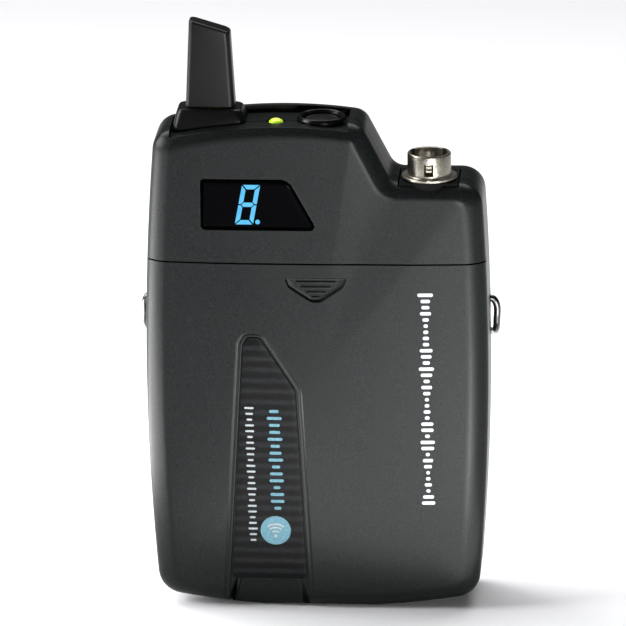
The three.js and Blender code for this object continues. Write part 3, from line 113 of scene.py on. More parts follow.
def grained_abs(name, dark, light, grain, depth, roughness):
    """Moulded plastic with a spark-eroded grain: dull, with fine pale specks painted into its colour as
    glints, where the grain's tips catch light. A real grain is under 0.1 mm and wouldn't show, so it is
    drawn grain mm wide."""
    material, tree, place = start_material(name, Specular_IOR_Level=0.15)
    grit = add(tree, "ShaderNodeTexNoise", [("Vector", place), ("Scale", 1 / (grain * MM)),
                                            ("Detail", 3.0), ("Roughness", 0.6)])
    painted_glints = add(tree, "ShaderNodeMapRange", [("Value", grit.outputs["Fac"]),
                                              ("From Min", 0.42), ("From Max", 0.72)])
    cloud = add(tree, "ShaderNodeTexNoise", [("Vector", place), ("Scale", 1 / (14 * MM)),
                                             ("Detail", 2.0)])
    # Painted glints: the grit's high spots mix the colour towards the pale one, as light catching the
    # grain's tips.
    add(tree, "ShaderNodeMix", [("Factor", painted_glints.outputs["Result"]), ("A", linear(dark)),
                                ("B", linear(light))], ("Result", "Base Color"), data_type="RGBA")
    add(tree, "ShaderNodeMapRange", [("Value", cloud.outputs["Fac"]), ("To Min", roughness - 0.04),
                                     ("To Max", roughness + 0.04)], ("Result", "Roughness"))
    edges = add(tree, "ShaderNodeBevel", [("Radius", 0.13 * MM)], samples=4)
    add(tree, "ShaderNodeBump", [("Height", grit.outputs["Fac"]), ("Strength", 0.35),
                                 ("Distance", depth * MM), ("Normal", edges.outputs["Normal"])],
        ("Normal", "Normal"))
    return material


# Black ABS from a spark-eroded mould: near black, with a dull silky sheen.
case_abs = grained_abs("grained_black_abs", "#060707", "#1A1E1E", 0.24, 0.035, 0.33)


def arc_rise(x, radius):
    """How far a circle through the origin has risen at x: r minus the root of r squared less x squared."""
    return radius - np.sqrt(radius**2 - np.square(x))


def side_x(z):
    """Half-width of the case at height z: a side bowed at 530 mm about its belly at z 48."""
    return HALF_WIDTH - arc_rise(np.asarray(z, float) - 48, 530)


def top_z(x):
    """Height of the top at x: an arc of 103 mm with its peak at x -6."""
    return CASE_HEIGHT - arc_rise(np.asarray(x, float) + 6, 103)


def foot_z(x):
    """Height of the foot at x: an arc of 167 mm with an 11 mm half flat to stand on."""
    return np.maximum(0, arc_rise(x, 167) - arc_rise(11, 167))


def rounded(corners, steps=9):
    """Closed polygon from (x, z, r) corners, each r > 0 replaced by an arc tangent to both sides."""
    xy = np.array([c[:2] for c in corners], float)
    radii = np.array([c[2] if len(c) > 2 else 0 for c in corners], float)
    back = np.roll(xy, 1, 0) - xy
    on = np.roll(xy, -1, 0) - xy
    back /= np.linalg.norm(back, axis=1)[:, None]
    on /= np.linalg.norm(on, axis=1)[:, None]
    half = np.arccos(np.clip((back * on).sum(1), -1, 1)) / 2
    stretches = []
    for here, a, b, h, r in zip(xy, back, on, half, radii):
        if r == 0:
            stretches.append(here[None])
            continue
        middle = (a + b) / np.linalg.norm(a + b)
        centre = here + middle * r / math.sin(h)
        start = here + a * r / math.tan(h) - centre
        end = here + b * r / math.tan(h) - centre
        sweep = math.atan2(start[0] * end[1] - start[1] * end[0], start @ end)
        turn = np.linspace(0, sweep, steps)
        arc = np.stack([start[0] * np.cos(turn) - start[1] * np.sin(turn),
                        start[0] * np.sin(turn) + start[1] * np.cos(turn)], 1)
        stretches.append(centre + arc)
    return np.concatenate(stretches)


def rounded_box(x, z, radius, steps=9):
    """A rectangle between two pairs of limits, with rounded corners."""
    corners = [(x[0], z[0], radius), (x[1], z[0], radius), (x[1], z[1], radius), (x[0], z[1], radius)]
    return rounded(corners, steps)


def inset(outline, distance):
    """The closed outline moved inwards: each point goes along the mean of its two sides' normals."""
    into = outline - np.roll(outline, 1, 0)
    on = np.roll(outline, -1, 0) - outline
    into /= np.linalg.norm(into, axis=1)[:, None]
    on /= np.linalg.norm(on, axis=1)[:, None]
    share = distance / (1 + (into * on).sum(1))
    both = into + on
    return outline + np.stack([-both[:, 1], both[:, 0]], 1) * share[:, None]


def case_outline():
    """Front view of the case: bowed foot and sides, crowned top, and the notch with its shelf."""
    foot_x = float(side_x(foot_z(side_x(0))))
    foot_corner_z = float(foot_z(foot_x))
    crown_x = float(side_x(top_z(-HALF_WIDTH)))
    notch_foot_x = NOTCH_X + (float(top_z(NOTCH_X)) - SHELF_Z) / math.tan(math.radians(63))
    bow = np.linspace(11, foot_x - 7, 12)
    right = np.linspace(foot_corner_z + 7, SHELF_Z - 6.3, 24)
    top = np.linspace(NOTCH_X - 4.8, 5.6 - crown_x, 22)
    left = np.linspace(float(top_z(-crown_x)) - 5.6, foot_corner_z + 7, 26)
    corners = [(-foot_x, foot_corner_z, 5)]
    corners += [(-x, foot_z(x)) for x in bow[::-1]]
    corners += [(x, foot_z(x)) for x in bow]
    corners += [(foot_x, foot_corner_z, 5)]
    corners += [(side_x(z), z) for z in right]
    corners += [(float(side_x(SHELF_Z)), SHELF_Z, 4.5), (notch_foot_x, SHELF_Z, 3.2)]
    corners += [(NOTCH_X, float(top_z(NOTCH_X)), 3.4)]
    corners += [(x, top_z(x)) for x in top]
    corners += [(-crown_x, float(top_z(-crown_x)), 4)]
    corners += [(-side_x(z), z) for z in left]
    return rounded(corners)


OUTLINE = case_outline()


def roof(x):
    """Height of the ceiling inside the case: ROOF under the top, and lower under the shelf."""
    return np.where(x < NOTCH_X - 2.7, top_z(np.minimum(x, NOTCH_X)) - ROOF, SHELF_Z - 3.2)


FACE_IN = 2.4  # how far in from the top and foot the round-over starts
SIDE_IN = 0.042  # and how much of the half-width it takes from the sides, past that
CREASE = 0.42  # its slope there, which makes a crisp edge round the face


def crown(share):
    """Depth of the crowned face at a share of the way out: its highest point's, and the rest of
    the crown times the share squared."""
    return FACE_HIGH + (FACE_CROWN - FACE_HIGH) * np.square(share)


def round_over(out, width, depth):
    """Fall of the round-over, out mm past the face's edge: a straight slope plus an ellipse,
    crease * out + (depth - crease * width) * (1 - root(1 - (out / width) squared))."""
    bend = 1 - np.sqrt(np.clip(1 - np.square(out / width), 0, 1))
    return CREASE * out + (depth - CREASE * width) * bend


def case_rings(offset, ceiling=None):
    """Sections of the case from its front to its back, offset mm below its surface. The face is
    the inset outline shrunk to a share of its size, at the crown's depth for that share; an arc
    rounds it over to the sides, and a quarter ellipse closes the back."""
    front_round = max(FACE_ROUND - offset, 0.4)
    back_round = max(BACK_ROUND - offset, 0.4)
    back_in = max(BACK_ROUND_IN - offset, 0.3)
    quarter = np.linspace(0, np.pi / 2, 10)
    width = max(FACE_IN - offset, 0.4)
    shares = np.array([0.03, 0.15, 0.3, 0.45, 0.6, 0.74, 0.86, 0.94, 0.978])
    front = FRONT_Y + offset
    back = BACK_Y - offset
    sections = [(front + crown(s), width, s) for s in shares]
    sections += [(front + FACE_CROWN + round_over(width * np.sin(t), width, front_round),
                  width * (1 - np.sin(t)), 1) for t in np.concatenate([[0, 0.12], quarter[1:]])]
    sections += [(y, 0, 1) for y in np.linspace(-5, 5, 6) if y < back - back_round]
    sections += [(back - back_round + back_round * np.sin(t), back_in * (1 - np.cos(t)), 1)
                 for t in quarter]
    rows = []
    for y, inward, share in sections:
        flat = inset(OUTLINE, offset + inward)
        flat[:, 0] *= 1 - (SIDE_IN * inward / FACE_IN if y < LEVEL_Y else 0)
        above = np.maximum(0, (flat[:, 1] - SEAM_Z) / (CASE_HEIGHT - SEAM_Z))
        past = min(max(abs(y) - LEVEL_Y, 0) / (BACK_Y - LEVEL_Y), 1)
        z = flat[:, 1] - (0.9 if y < 0 else 2.5) * past**2 * above
        if ceiling is not None:
            z = np.minimum(z, ceiling(flat[:, 0]))
        z = FACE_MIDDLE_Z + (z - FACE_MIDDLE_Z) * share
        rows.append(np.stack([flat[:, 0] * share, np.full(len(z), y), z], 1))
    return np.array(rows)


def placed(name, data):
    """A new object of the scene that shows a mesh, a light or a camera."""
    made = bpy.data.objects.new(name, data)
    bpy.context.scene.collection.objects.link(made)
    return made


def make_object(name, points, faces):
    """A mesh object from points in mm and lists of corners, with its faces turned outwards."""
    mesh = bpy.data.meshes.new(name)
    mesh.from_pydata((np.asarray(points, float) * MM).tolist(), [], faces)
    work = bmesh.new()
    work.from_mesh(mesh)
    bmesh.ops.recalc_face_normals(work, faces=work.faces)
    work.to_mesh(mesh)
    work.free()
    return placed(name, mesh)


def skin(rows, closed=False):
    """Faces of a tube whose rows are rings of points: row k, point i is joined to row k + 1 and
    point i + 1. The ends are closed by one face each, or the last row joins the first."""
    count, size = rows.shape[:2]
    k, i = np.meshgrid(np.arange(count if closed else count - 1), np.arange(size), indexing="ij")
    up = (k + 1) % count
    on = (i + 1) % size
    quads = np.stack([k * size + i, k * size + on, up * size + on, up * size + i], -1)
    faces = quads.reshape(-1, 4).tolist()
    if not closed:
        faces += [list(range(size)), list(range((count - 1) * size, count * size))]
    return rows.reshape(-1, 3), faces


def tube(name, rows, closed=False):
    """A closed skin over rows of points, as one object."""
    return make_object(name, *skin(np.asarray(rows, float), closed))


def block(name, x, y, z):
    """A box between the given pairs of limits."""
    ring = np.array([(x[0], y[0]), (x[1], y[0]), (x[1], y[1]), (x[0], y[1])])
    return tube(name, [np.column_stack([ring, np.full(4, level)]) for level in z])


def prism(name, outline, y0, y1):
    """A front-view outline carried from y0 to y1."""
    return tube(name, [np.column_stack([outline[:, 0], np.full(len(outline), y), outline[:, 1]])
                       for y in (y0, y1)])


def turned(name, profile, x, y, sides=72, axis="Z"):
    """A profile of (radius, height) points turned about an upright line through (x, y), or, for
    axis Y or X, about a line along it through (x, z) or (y, z)."""
    profile = np.array(profile, float)
    turn = np.linspace(0, 2 * np.pi, sides, endpoint=False)
    across = profile[:, :1] * np.cos(turn)
    aside = profile[:, :1] * np.sin(turn)
    along = np.broadcast_to(profile[:, 1:], across.shape)
    order = {"Z": (x + across, y + aside, along), "Y": (x + across, along, y + aside),
             "X": (along, x + across, y + aside)}[axis]
    return tube(name, np.stack(order, -1), closed=bool(profile[0, 0] and (profile[0] == profile[-1]).all()))


def rod(name, radius, start, end, x, y, axis="Z", sides=48):
    """A plain cylinder, for cutting holes and adding bosses."""
    return turned(name, [(radius, start), (radius, end)], x, y, sides, axis)


def cut(piece, *cutters, how="DIFFERENCE"):
    """Cuts the cutters out of the piece, or joins them, and removes them."""
    for cutter in cutters:
        boolean = piece.modifiers.new("cut", "BOOLEAN")
        boolean.operation = how
        boolean.solver = "EXACT"
        boolean.object = cutter
        done = bpy.data.meshes.new_from_object(piece.evaluated_get(bpy.context.evaluated_depsgraph_get()))
        piece.modifiers.clear()
        piece.data = done
        bpy.data.objects.remove(cutter)
    return piece


def keep_side(piece, point, outward):
    """Cuts the closed piece by a plane, keeps what is behind it, and closes the cut with a face."""
    work = bmesh.new()
    work.from_mesh(piece.data)
    everything = work.verts[:] + work.edges[:] + work.faces[:]
    sliced = bmesh.ops.bisect_plane(work, geom=everything, plane_co=Vector(point) * MM,
                                    plane_no=outward, clear_outer=True, dist=1e-7)
    rim = [e for e in sliced["geom_cut"] if isinstance(e, bmesh.types.BMEdge)]
    bmesh.ops.contextual_create(work, geom=rim)
    bmesh.ops.recalc_face_normals(work, faces=work.faces)
    work.to_mesh(piece.data)
    work.free()
    return piece


def shell(name, *planes):
    """One part of the case: its closed outside cut by planes, each a (point, outward) pair, with
    the inside taken out."""
    piece = tube(name, case_rings(0))
    for point, outward in planes:
        keep_side(piece, point, outward)
    return cut(piece, tube("hollow", case_rings(WALL, roof)))


def smooth(piece, degrees=28):
    """Smooth shading with sharp edges past an angle."""
    piece.data.shade_smooth()
    piece.data.set_sharp_from_angle(angle=math.radians(degrees))
    return piece


def dress(piece, body, slot, *materials, instead=()):
    """Gives a piece its materials and its body, and hides the nodes that it stands for; its slot is not
    used.
    """
    piece.data.materials.clear()
    for material in materials:
        piece.data.materials.append(material)
    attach(piece, body)
    if instead:
        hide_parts(*instead)
    return piece


def span(node):
    """Lowest and highest corner of a node, in mm."""
    return [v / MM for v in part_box(node)]


antenna_low, antenna_high = span("antenna_boot")
blade_low, blade_high = span("antenna_blade")
ANTENNA_X = (blade_low.x + blade_high.x) / 2
ANTENNA_Y = (blade_low.y + blade_high.y) / 2
bezel_low, bezel_high = span("button_bezel")
BUTTON_X = (bezel_low.x + bezel_high.x) / 2
BUTTON_Y = (bezel_low.y + bezel_high.y) / 2
BEZEL_R = (bezel_high.x - bezel_low.x) / 2
lens_low, lens_high = span("indicator_lens")
LED_X = (lens_low.x + lens_high.x) / 2
socket_low, socket_high = span("socket_shell")
SOCKET_X = (socket_low.x + socket_high.x) / 2
plate_low, plate_high = span("socket_plate")
WELL_LEFT = 5.2 - HALF_WIDTH
WELL_RIGHT = NOTCH_X - 2.5
WELL_BACK_Y = 3.2
BESIDE, BEHIND, ABOVE = 50, 20, 120  # X, Y and Z past the whole object, where a cutter ends


def top_cutters():
    """The well in the top, the holes in its floor, the square recess and the hole of the socket."""
    x = np.linspace(WELL_LEFT, WELL_RIGHT, 40)
    floor = np.stack([x, top_z(x) - WELL_DEPTH], 1)
    well = np.concatenate([floor, [(WELL_RIGHT, ABOVE), (WELL_LEFT, ABOVE)]])
    return [
        prism("well", well, -BEHIND, WELL_BACK_Y),
        rod("bezel_hole", BEZEL_R - 0.65, 80, ABOVE, BUTTON_X, BUTTON_Y),
        turned("lens_hole", [(1.9, 80), (1.9, ABOVE)], LED_X, PARTING_Y),
        block("boot_hole", (ANTENNA_X - 3.2, ANTENNA_X + 3.2), (ANTENNA_Y - 1.6, ANTENNA_Y + 1.6),
              (80, ABOVE)),
        block("plate_seat", (plate_low.x - GAP, plate_high.x + GAP),
              (plate_low.y - GAP, plate_high.y + GAP), (SHELF_Z - 1.3, SHELF_Z + 9)),
        rod("barrel_hole", 4.5, 60, 100, SOCKET_X, PARTING_Y),
    ]


clip_low, clip_high = span("belt_clip")
bush_low, bush_high = span("clip_bush_right")
CLIP_AXIS_Y = (bush_low.y + bush_high.y) / 2
CLIP_AXIS_Z = (bush_low.z + bush_high.z) / 2
BUSH_R = (bush_high.z - bush_low.z) / 2
screw_boxes = [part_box(f"case_screw_{i + 1}") for i in range(4)]
SCREWS = [((low.x + high.x) / 2 / MM, (low.z + high.z) / 2 / MM) for low, high in screw_boxes]
SCREW_HEAD_R = (screw_boxes[0][1].x - screw_boxes[0][0].x) / 2 / MM
SCREW_SEAT_Y = 4.0
carrier_low, carrier_high = span("door_carrier")
PIVOT_Y = PARTING_Y - 0.6
PIVOT_Z = 1.7
HINGE_SWEEP = 2.8  # reach of the door's foot as it swings under the rear shell
LABEL_OUTLINE = rounded_box((-19, 19), (64, 84), 1.5)

rear_case = shell("rear_shell", ((0, PARTING_Y + GAP / 2, 0), (0, -1, 0)))
bosses = [rod("boss", SCREW_HEAD_R + 0.9, (PARTING_Y + 0.2) if z > SEAM_Z else -1.2, BACK_Y - 0.6,
              x, z, "Y") for x, z in SCREWS]
cut(rear_case, *bosses, how="UNION")
cut(rear_case, *top_cutters())
cut(rear_case, rod("clip_hole", BUSH_R + 0.15, -BESIDE, BESIDE, CLIP_AXIS_Y, CLIP_AXIS_Z, "X"))
cut(rear_case, *[rod("screw_well", SCREW_HEAD_R + GAP, SCREW_SEAT_Y, BEHIND, x, z, "Y")
                 for x, z in SCREWS])
cut(rear_case, rod("hinge_relief", HINGE_SWEEP, -BESIDE, BESIDE, PIVOT_Y, PIVOT_Z, "X"))
cut(rear_case, block("carrier_slot", (carrier_low.x - GAP, carrier_high.x + GAP),
                     (PIVOT_Y, carrier_high.y + GAP), (-5, carrier_high.z + WALL)))
cut(rear_case, prism("label_seat", LABEL_OUTLINE, BACK_Y - 0.5, BEHIND))
dress(smooth(rear_case), "pack", "case_plastic", case_abs, instead=["rear_case"])


# ------------------------------------------------------------------ front case
# The head of the case, in the same grained ABS: it carries the display window and the
# front halves of the well and the socket shelf. It stays on when the battery door opens.

window_low, window_high = span("display_window")
WINDOW_LEFT = window_low.x - GAP / 2
WINDOW_LOW = window_low.z - GAP / 2
WINDOW_HIGH = window_high.z + GAP / 2


def window_outline(margin):
    """The display's opening moved in by a margin: square on the left, cut at 56 degrees on the right."""
    left = WINDOW_LEFT + margin
    return rounded([(left, WINDOW_LOW + margin, 0.9),
                    (WINDOW_LEFT + 22.6 - 1.6 * margin, WINDOW_LOW + margin, 0.9),
                    (WINDOW_LEFT + 17 - 0.6 * margin, WINDOW_HIGH - margin, 3),
                    (left, WINDOW_HIGH - margin, 0.7)])


FRONT_HALF = ((0, PARTING_Y - GAP / 2, 0), (0, 1, 0))
front_case = shell("front_shell", FRONT_HALF, ((0, 0, SEAM_Z + GAP / 2), (0, 0, -1)))
cut(front_case, *top_cutters())
cut(front_case, prism("window_opening", window_outline(0), -BEHIND, PARTING_Y))
dress(smooth(front_case), "pack", "case_plastic", case_abs, instead=["front_case"])


# ------------------------------------------------------------------ display
# A smoked acrylic window, flush in its opening, over one lit seven-segment figure. The
# figure's bars are light guides, which reach the window's face, so they show crisply.

FACE_OUTLINE = inset(OUTLINE, FACE_IN) * (1 - SIDE_IN, 1)
FACE_ANGLES = np.arctan2(FACE_OUTLINE[:, 1] - FACE_MIDDLE_Z, FACE_OUTLINE[:, 0])
FACE_RADII = np.hypot(FACE_OUTLINE[:, 1] - FACE_MIDDLE_Z, FACE_OUTLINE[:, 0])
FACE_ORDER = np.argsort(FACE_ANGLES)


def face_y(x, z):
    """Depth of the front face at (x, z): the crown's at the share of the way to the face's edge,
    and past the edge the round-over's as well."""
    angle = np.arctan2(z - FACE_MIDDLE_Z, x)
    reach = np.hypot(x, z - FACE_MIDDLE_Z)
    edge = np.interp(angle, FACE_ANGLES[FACE_ORDER], FACE_RADII[FACE_ORDER], period=2 * np.pi)
    share = np.minimum(reach / edge, 1)
    width = FACE_IN + SIDE_IN * np.abs(x) * np.abs(np.cos(angle))
    return FRONT_Y + crown(share) + round_over(np.clip(reach - edge, 0, width), width, FACE_ROUND)


def on_face(outline, depth):
    """A front-view outline laid at a depth under the front face."""
    return np.column_stack([outline[:, 0], face_y(outline[:, 0], outline[:, 1]) + depth, outline[:, 1]])


def shrunk(outline, share):
    """The outline scaled by a share about the middle of its limits."""
    middle = (outline.min(0) + outline.max(0)) / 2
    return middle + (outline - middle) * share


def raised(outline, back, front):
    """Rows of a thin plate on the face: the outline at one depth, then at another."""
    return [on_face(outline, back), on_face(outline, front)]


def circle(x, z, radius, sides):
    """Front-view outline of a circle."""
    turn = np.linspace(0, 2 * np.pi, sides, endpoint=False)
    return np.stack([x + radius * np.cos(turn), z + radius * np.sin(turn)], 1)


def gathered(name, shapes):
    """One object of several closed skins, each given by its rows of points."""
    points, faces, count = [], [], 0
    for rows in shapes:
        more, sides = skin(np.asarray(rows, float))
        faces += [[corner + count for corner in side] for side in sides]
        points.append(more)
        count += len(more)
    return make_object(name, np.concatenate(points), faces)


def face_rings(outline, profile, shares):
    """One ring on the face for each (inset, depth) of the profile, then the last ring shrunk to
    its middle by each share."""
    inner = inset(outline, profile[-1][0])
    rows = [on_face(inset(outline, inward), depth) for inward, depth in profile]
    return rows + [on_face(shrunk(inner, share), profile[-1][1]) for share in shares]


def laid_plate(name, outline, back, profile):
    """A thin plate that follows the face: its outline at the back depth, then its front's rings."""
    rings = face_rings(outline, profile, (0.85, 0.65, 0.45, 0.25, 0.1))
    return tube(name, [on_face(outline, back), *rings])


# Smoked acrylic: nearly black and glassy, with the slight waviness of a moulded sheet.
acrylic, tree, place = start_material("smoked_acrylic", Base_Color=linear("#020203"), Roughness=0.08,
                                      IOR=1.49, Specular_IOR_Level=0.02)
wave = add(tree, "ShaderNodeTexNoise", [("Vector", place), ("Scale", 1 / (9 * MM)), ("Detail", 1.0)])
add(tree, "ShaderNodeBump", [("Height", wave.outputs["Fac"]), ("Strength", 0.12), ("Distance", 0.2 * MM)],
    ("Normal", "Normal"))

WINDOW_SINK = 0.25
window = laid_plate("display_glass", window_outline(GAP / 2), 1.6,
                    [(0, 0.75), (0.1, 0.6), (0.55, WINDOW_SINK + 0.02), (0.7, WINDOW_SINK)])
dress(smooth(window), "pack", "smoked_window", acrylic, instead=["display_window"])

DIGIT_X = -12.9
DIGIT_Z = (WINDOW_LOW + WINDOW_HIGH) / 2
HALF_U, HALF_W = 1.75, 3.9
STROKE = 0.85
SLANT = 0.19
SPLIT = 0.13  # half of the dark gap between two bars

# Frosted light guides over a blue light source: an even glow, a little brighter in patches.
lit_blue, tree, place = start_material("lit_blue_bars", Base_Color=linear("#0A2A38"), Roughness=0.35,
                                       Emission_Strength=1.0)
glow = add(tree, "ShaderNodeTexNoise", [("Vector", place), ("Scale", 1 / (1.6 * MM)), ("Detail", 1.0)])
add(tree, "ShaderNodeMix", [("Factor", glow.outputs["Fac"]), ("A", linear("#1C9BDC")),
                            ("B", linear("#49C6F2"))], ("Result", "Emission Color"), data_type="RGBA")

OUT, IN = HALF_U - SPLIT * 1.4, HALF_U - STROKE - SPLIT * 1.4
across_bar = np.array([(-OUT, HALF_W), (-IN, HALF_W - STROKE), (IN, HALF_W - STROKE), (OUT, HALF_W)])
upright_bar = np.array([(-HALF_U, SPLIT), (-HALF_U + STROKE / 2, SPLIT),
                        (-HALF_U + STROKE, STROKE / 2 + SPLIT),
                        (-HALF_U + STROKE, HALF_W - STROKE - SPLIT * 1.4), (-HALF_U, HALF_W - SPLIT * 1.4)])
TIP, HIP = HALF_U - STROKE / 2 - SPLIT, HALF_U - STROKE - SPLIT
middle_bar = np.array([(-TIP, 0), (-HIP, -STROKE / 2), (HIP, -STROKE / 2), (TIP, 0), (HIP, STROKE / 2),
                       (-HIP, STROKE / 2)])
bars = [middle_bar, across_bar, across_bar * (1, -1)]
bars += [upright_bar * (a, b) for a in (1, -1) for b in (1, -1)]
lit = [np.stack([DIGIT_X + bar[:, 0] + SLANT * bar[:, 1], DIGIT_Z + bar[:, 1]], 1) for bar in bars]
lit.append(circle(DIGIT_X + HALF_U - SLANT * HALF_W + 0.9, DIGIT_Z - HALF_W + 0.5, 0.45, 24))
digit = gathered("lit_figure", [raised(bar, 2.4, WINDOW_SINK - 0.04) for bar in lit])
dress(digit, "pack", "blue_segments", lit_blue, instead=["display_digit"])


# ------------------------------------------------------------------ antenna
# A stub moulded in soft black plastic over a metal strip: the blade stands in a tapered
# boot, and its top slants to the right. Its four upright edges are well rounded.

# Soft-touch black moulding: plain black, with a finer grain and a broader sheen than the case.
soft_black = grained_abs("soft_black_moulding", "#070707", "#101111", 0.3, 0.01, 0.31)


def upright(name, x, y, foot, top, sections):
    """A post of rounded rectangles about (x, y), from (width, depth, radius, share, lift) sections.
    A point's height is foot + (top - foot) * share + lift, with foot and top functions of x."""
    rows = []
    for width, depth, radius, share, lift in sections:
        flat = rounded_box((-width / 2, width / 2), (-depth / 2, depth / 2), radius, 10)
        high = foot(flat[:, 0]) * (1 - share) + top(flat[:, 0]) * share + lift
        rows.append(np.column_stack([x + flat[:, 0], y + flat[:, 1], high]))
    return tube(name, rows)


BOOT_WIDTH = antenna_high.x - antenna_low.x
BOOT_DEPTH = antenna_high.y - antenna_low.y
BOOT_X = (antenna_low.x + antenna_high.x) / 2
BOOT_STEP = 0.35  # height of its plain foot, over which its sides lean in


def boot_foot(x):
    """Height of the boot's plain foot: its step above the well's curved floor."""
    return top_z(x + BOOT_X) - WELL_DEPTH + GAP / 2 + BOOT_STEP


def boot_top(x):
    """Height of the boot's level top."""
    return np.full(len(x), antenna_high.z)


lean = [(0.0, 0.0), (0.2, 0.06), (0.5, 0.22), (0.8, 0.4), (0.93, 0.5), (0.985, 0.62), (1.0, 0.85)]
boot_sections = [(BOOT_WIDTH - 1, BOOT_DEPTH - 1, 1.2, 0, -BOOT_STEP),
                 (BOOT_WIDTH, BOOT_DEPTH, 1.5, 0, -BOOT_STEP), (BOOT_WIDTH, BOOT_DEPTH, 1.5, 0, 0)]
boot_sections += [(BOOT_WIDTH - 3.4 * inward, BOOT_DEPTH - 2.4 * inward, 1.5, rise, 0)
                  for rise, inward in lean]
antenna_boot = upright("antenna_foot", BOOT_X, ANTENNA_Y, boot_foot, boot_top, boot_sections)
dress(smooth(antenna_boot), "pack", "soft_black", soft_black, instead=["antenna_boot"])

BLADE_WIDTH = blade_high.x - blade_low.x
BLADE_DEPTH = blade_high.y - blade_low.y
BLADE_TOP_WIDTH = 7.9
BLADE_TOP_DEPTH = BLADE_DEPTH - 0.5
BLADE_SLOPE = 0.3
BLADE_ROUND = 0.55


def blade_foot(x):
    """Height of the blade's level foot."""
    return np.full(len(x), blade_low.z)


def blade_top(x):
    """Height of the blade's top, which falls to the right, below its rounded edge."""
    return blade_high.z - BLADE_ROUND - (x + BLADE_TOP_WIDTH / 2) * BLADE_SLOPE


blade_sections = [(BLADE_WIDTH + (BLADE_TOP_WIDTH - BLADE_WIDTH) * s, BLADE_DEPTH - 0.5 * s, 1.15, s, 0)
                  for s in np.linspace(0, 1, 9)]
for turn in np.linspace(0.3, np.pi / 2, 6):
    inward = BLADE_ROUND * (1 - math.cos(turn))
    blade_sections.append((BLADE_TOP_WIDTH - 2 * inward, BLADE_TOP_DEPTH - 2 * inward,
                           1.15 - 0.5 * inward, 1, 0.5 * math.sin(turn)))
antenna_blade = upright("antenna_stub", ANTENNA_X, ANTENNA_Y, blade_foot, blade_top, blade_sections)
dress(smooth(antenna_blade, 35), "pack", "soft_black", soft_black, instead=["antenna_blade"])


# ------------------------------------------------------------------ push button and indicator
# A bezel of polished black ABS is pressed into the well's floor, and a domed soft-touch cap
# slides in it, just below its rim. Beside it a frosted, faceted lens stands over a green LED.

BEZEL_TOP = bezel_high.z
BEZEL_FOOT = BEZEL_TOP - 0.6
# Black ABS from a polished mould: glossy, so that the rim draws a thin bright line.
bezel_black = grained_abs("polished_black_moulding", "#060606", "#0B0B0B", 0.4, 0.004, 0.24)
rim = [(0.22, 0.2), (0.28, 0.07), (0.38, 0.01), (0.52, 0), (0.64, 0.04), (0.74, 0.16), (0.86, 0.36)]
bezel_profile = [(3.7, BEZEL_FOOT - 1.5), (4.1, BEZEL_FOOT - 1.5), (4.1, BEZEL_FOOT),
                 (BEZEL_R, BEZEL_FOOT), (BEZEL_R, BEZEL_FOOT + 0.1),
                 *[(BEZEL_R - inward, BEZEL_TOP - down) for inward, down in rim],
                 (3.72, BEZEL_TOP - 0.48), (3.7, BEZEL_TOP - 0.55), (3.7, BEZEL_FOOT - 1.5)]
bezel = turned("button_ring", bezel_profile, BUTTON_X, BUTTON_Y, 96)
dress(smooth(bezel, 50), "pack", "soft_black", bezel_black, instead=["button_bezel"])

button_low, button_high = span("power_button")
CAP_R = 3.4
dome = [(CAP_R * math.sin(t), button_high.z - 0.62 * (1 - math.cos(t)))
        for t in np.linspace(np.pi / 2, 0, 14)[:-1]]
cap_profile = [(0.05, button_low.z), (1.2, button_low.z), (1.2, BEZEL_FOOT - 1.4),
               (CAP_R, BEZEL_FOOT - 1.4), (CAP_R, button_high.z - 0.75)] + dome
button = turned("button_cap", cap_profile, BUTTON_X, BUTTON_Y, 96)
dress(smooth(button, 40), "button", "soft_black", soft_black, instead=["power_button"])

# Frosted lens over a lit LED: yellow-green, and brightest over the LED in its middle.
lens_green, tree, place = start_material("lit_green_lens", Base_Color=linear("#B5DB1B"), Roughness=0.18,
                                         Emission_Strength=0.55)
centred = add(tree, "ShaderNodeMapping", [("Vector", place), ("Location", (
    -LED_X * MM, -PARTING_Y * MM, -lens_high.z * MM))], vector_type="POINT")
glow = add(tree, "ShaderNodeTexGradient", [("Vector", centred.outputs["Vector"])],
           gradient_type="SPHERICAL")
scaled = add(tree, "ShaderNodeMapRange", [("Value", glow.outputs["Fac"]), ("From Min", 0.9984),
                                          ("From Max", 0.9998)])
add(tree, "ShaderNodeMix", [("Factor", scaled.outputs["Result"]), ("A", linear("#7FB417")),
                            ("B", linear("#F2FF7A"))], ("Result", "Emission Color"), data_type="RGBA")
facets = [(1.38, 0.75), (1.3, 0.5), (0.85, 0.2), (0.35, 0.03), (0.04, 0)]
lens = turned("indicator_jewel", [(0.05, lens_low.z), (1.2, lens_low.z),
                                  *[(radius, lens_high.z - down) for radius, down in facets]],
              LED_X, PARTING_Y, 40)
dress(smooth(lens, 50), "pack", "lit_lens", lens_green, instead=["indicator_lens"])


# ------------------------------------------------------------------ microphone socket
# A turned brass barrel, plated in satin nickel, screwed down through its flange. It has a
# latch window at the front and two key slots, and holds an insert with four gold pins.


def mottled(name, dark, light, grain, detail, **sockets):
    """A material whose colour runs from dark to light with a soft noise, grain mm wide."""
    material, tree, place = start_material(name, **sockets)
    noise = add(tree, "ShaderNodeTexNoise", [("Vector", place), ("Scale", 1 / (grain * MM)),
                                             ("Detail", detail)]).outputs["Fac"]
    add(tree, "ShaderNodeMix", [("Factor", noise), ("A", linear(dark)), ("B", linear(light))],
        ("Result", "Base Color"), data_type="RGBA")
    return material, tree, noise


# Blasted brass under nickel: a warm grey metal, whose pits blur what it reflects. They are
# finer than a tenth of a millimetre, and are drawn coarser so that they show.
satin_nickel, tree, blast = mottled("satin_nickel_plate", "#6F6B61", "#B3AEA2", 0.35, 3.0, Metallic=1.0)
add(tree, "ShaderNodeMapRange", [("Value", blast), ("To Min", 0.2), ("To Max", 0.42)],
    ("Result", "Roughness"))
add(tree, "ShaderNodeBump", [("Height", blast), ("Strength", 0.25), ("Distance", 0.02 * MM)],
    ("Normal", "Normal"))

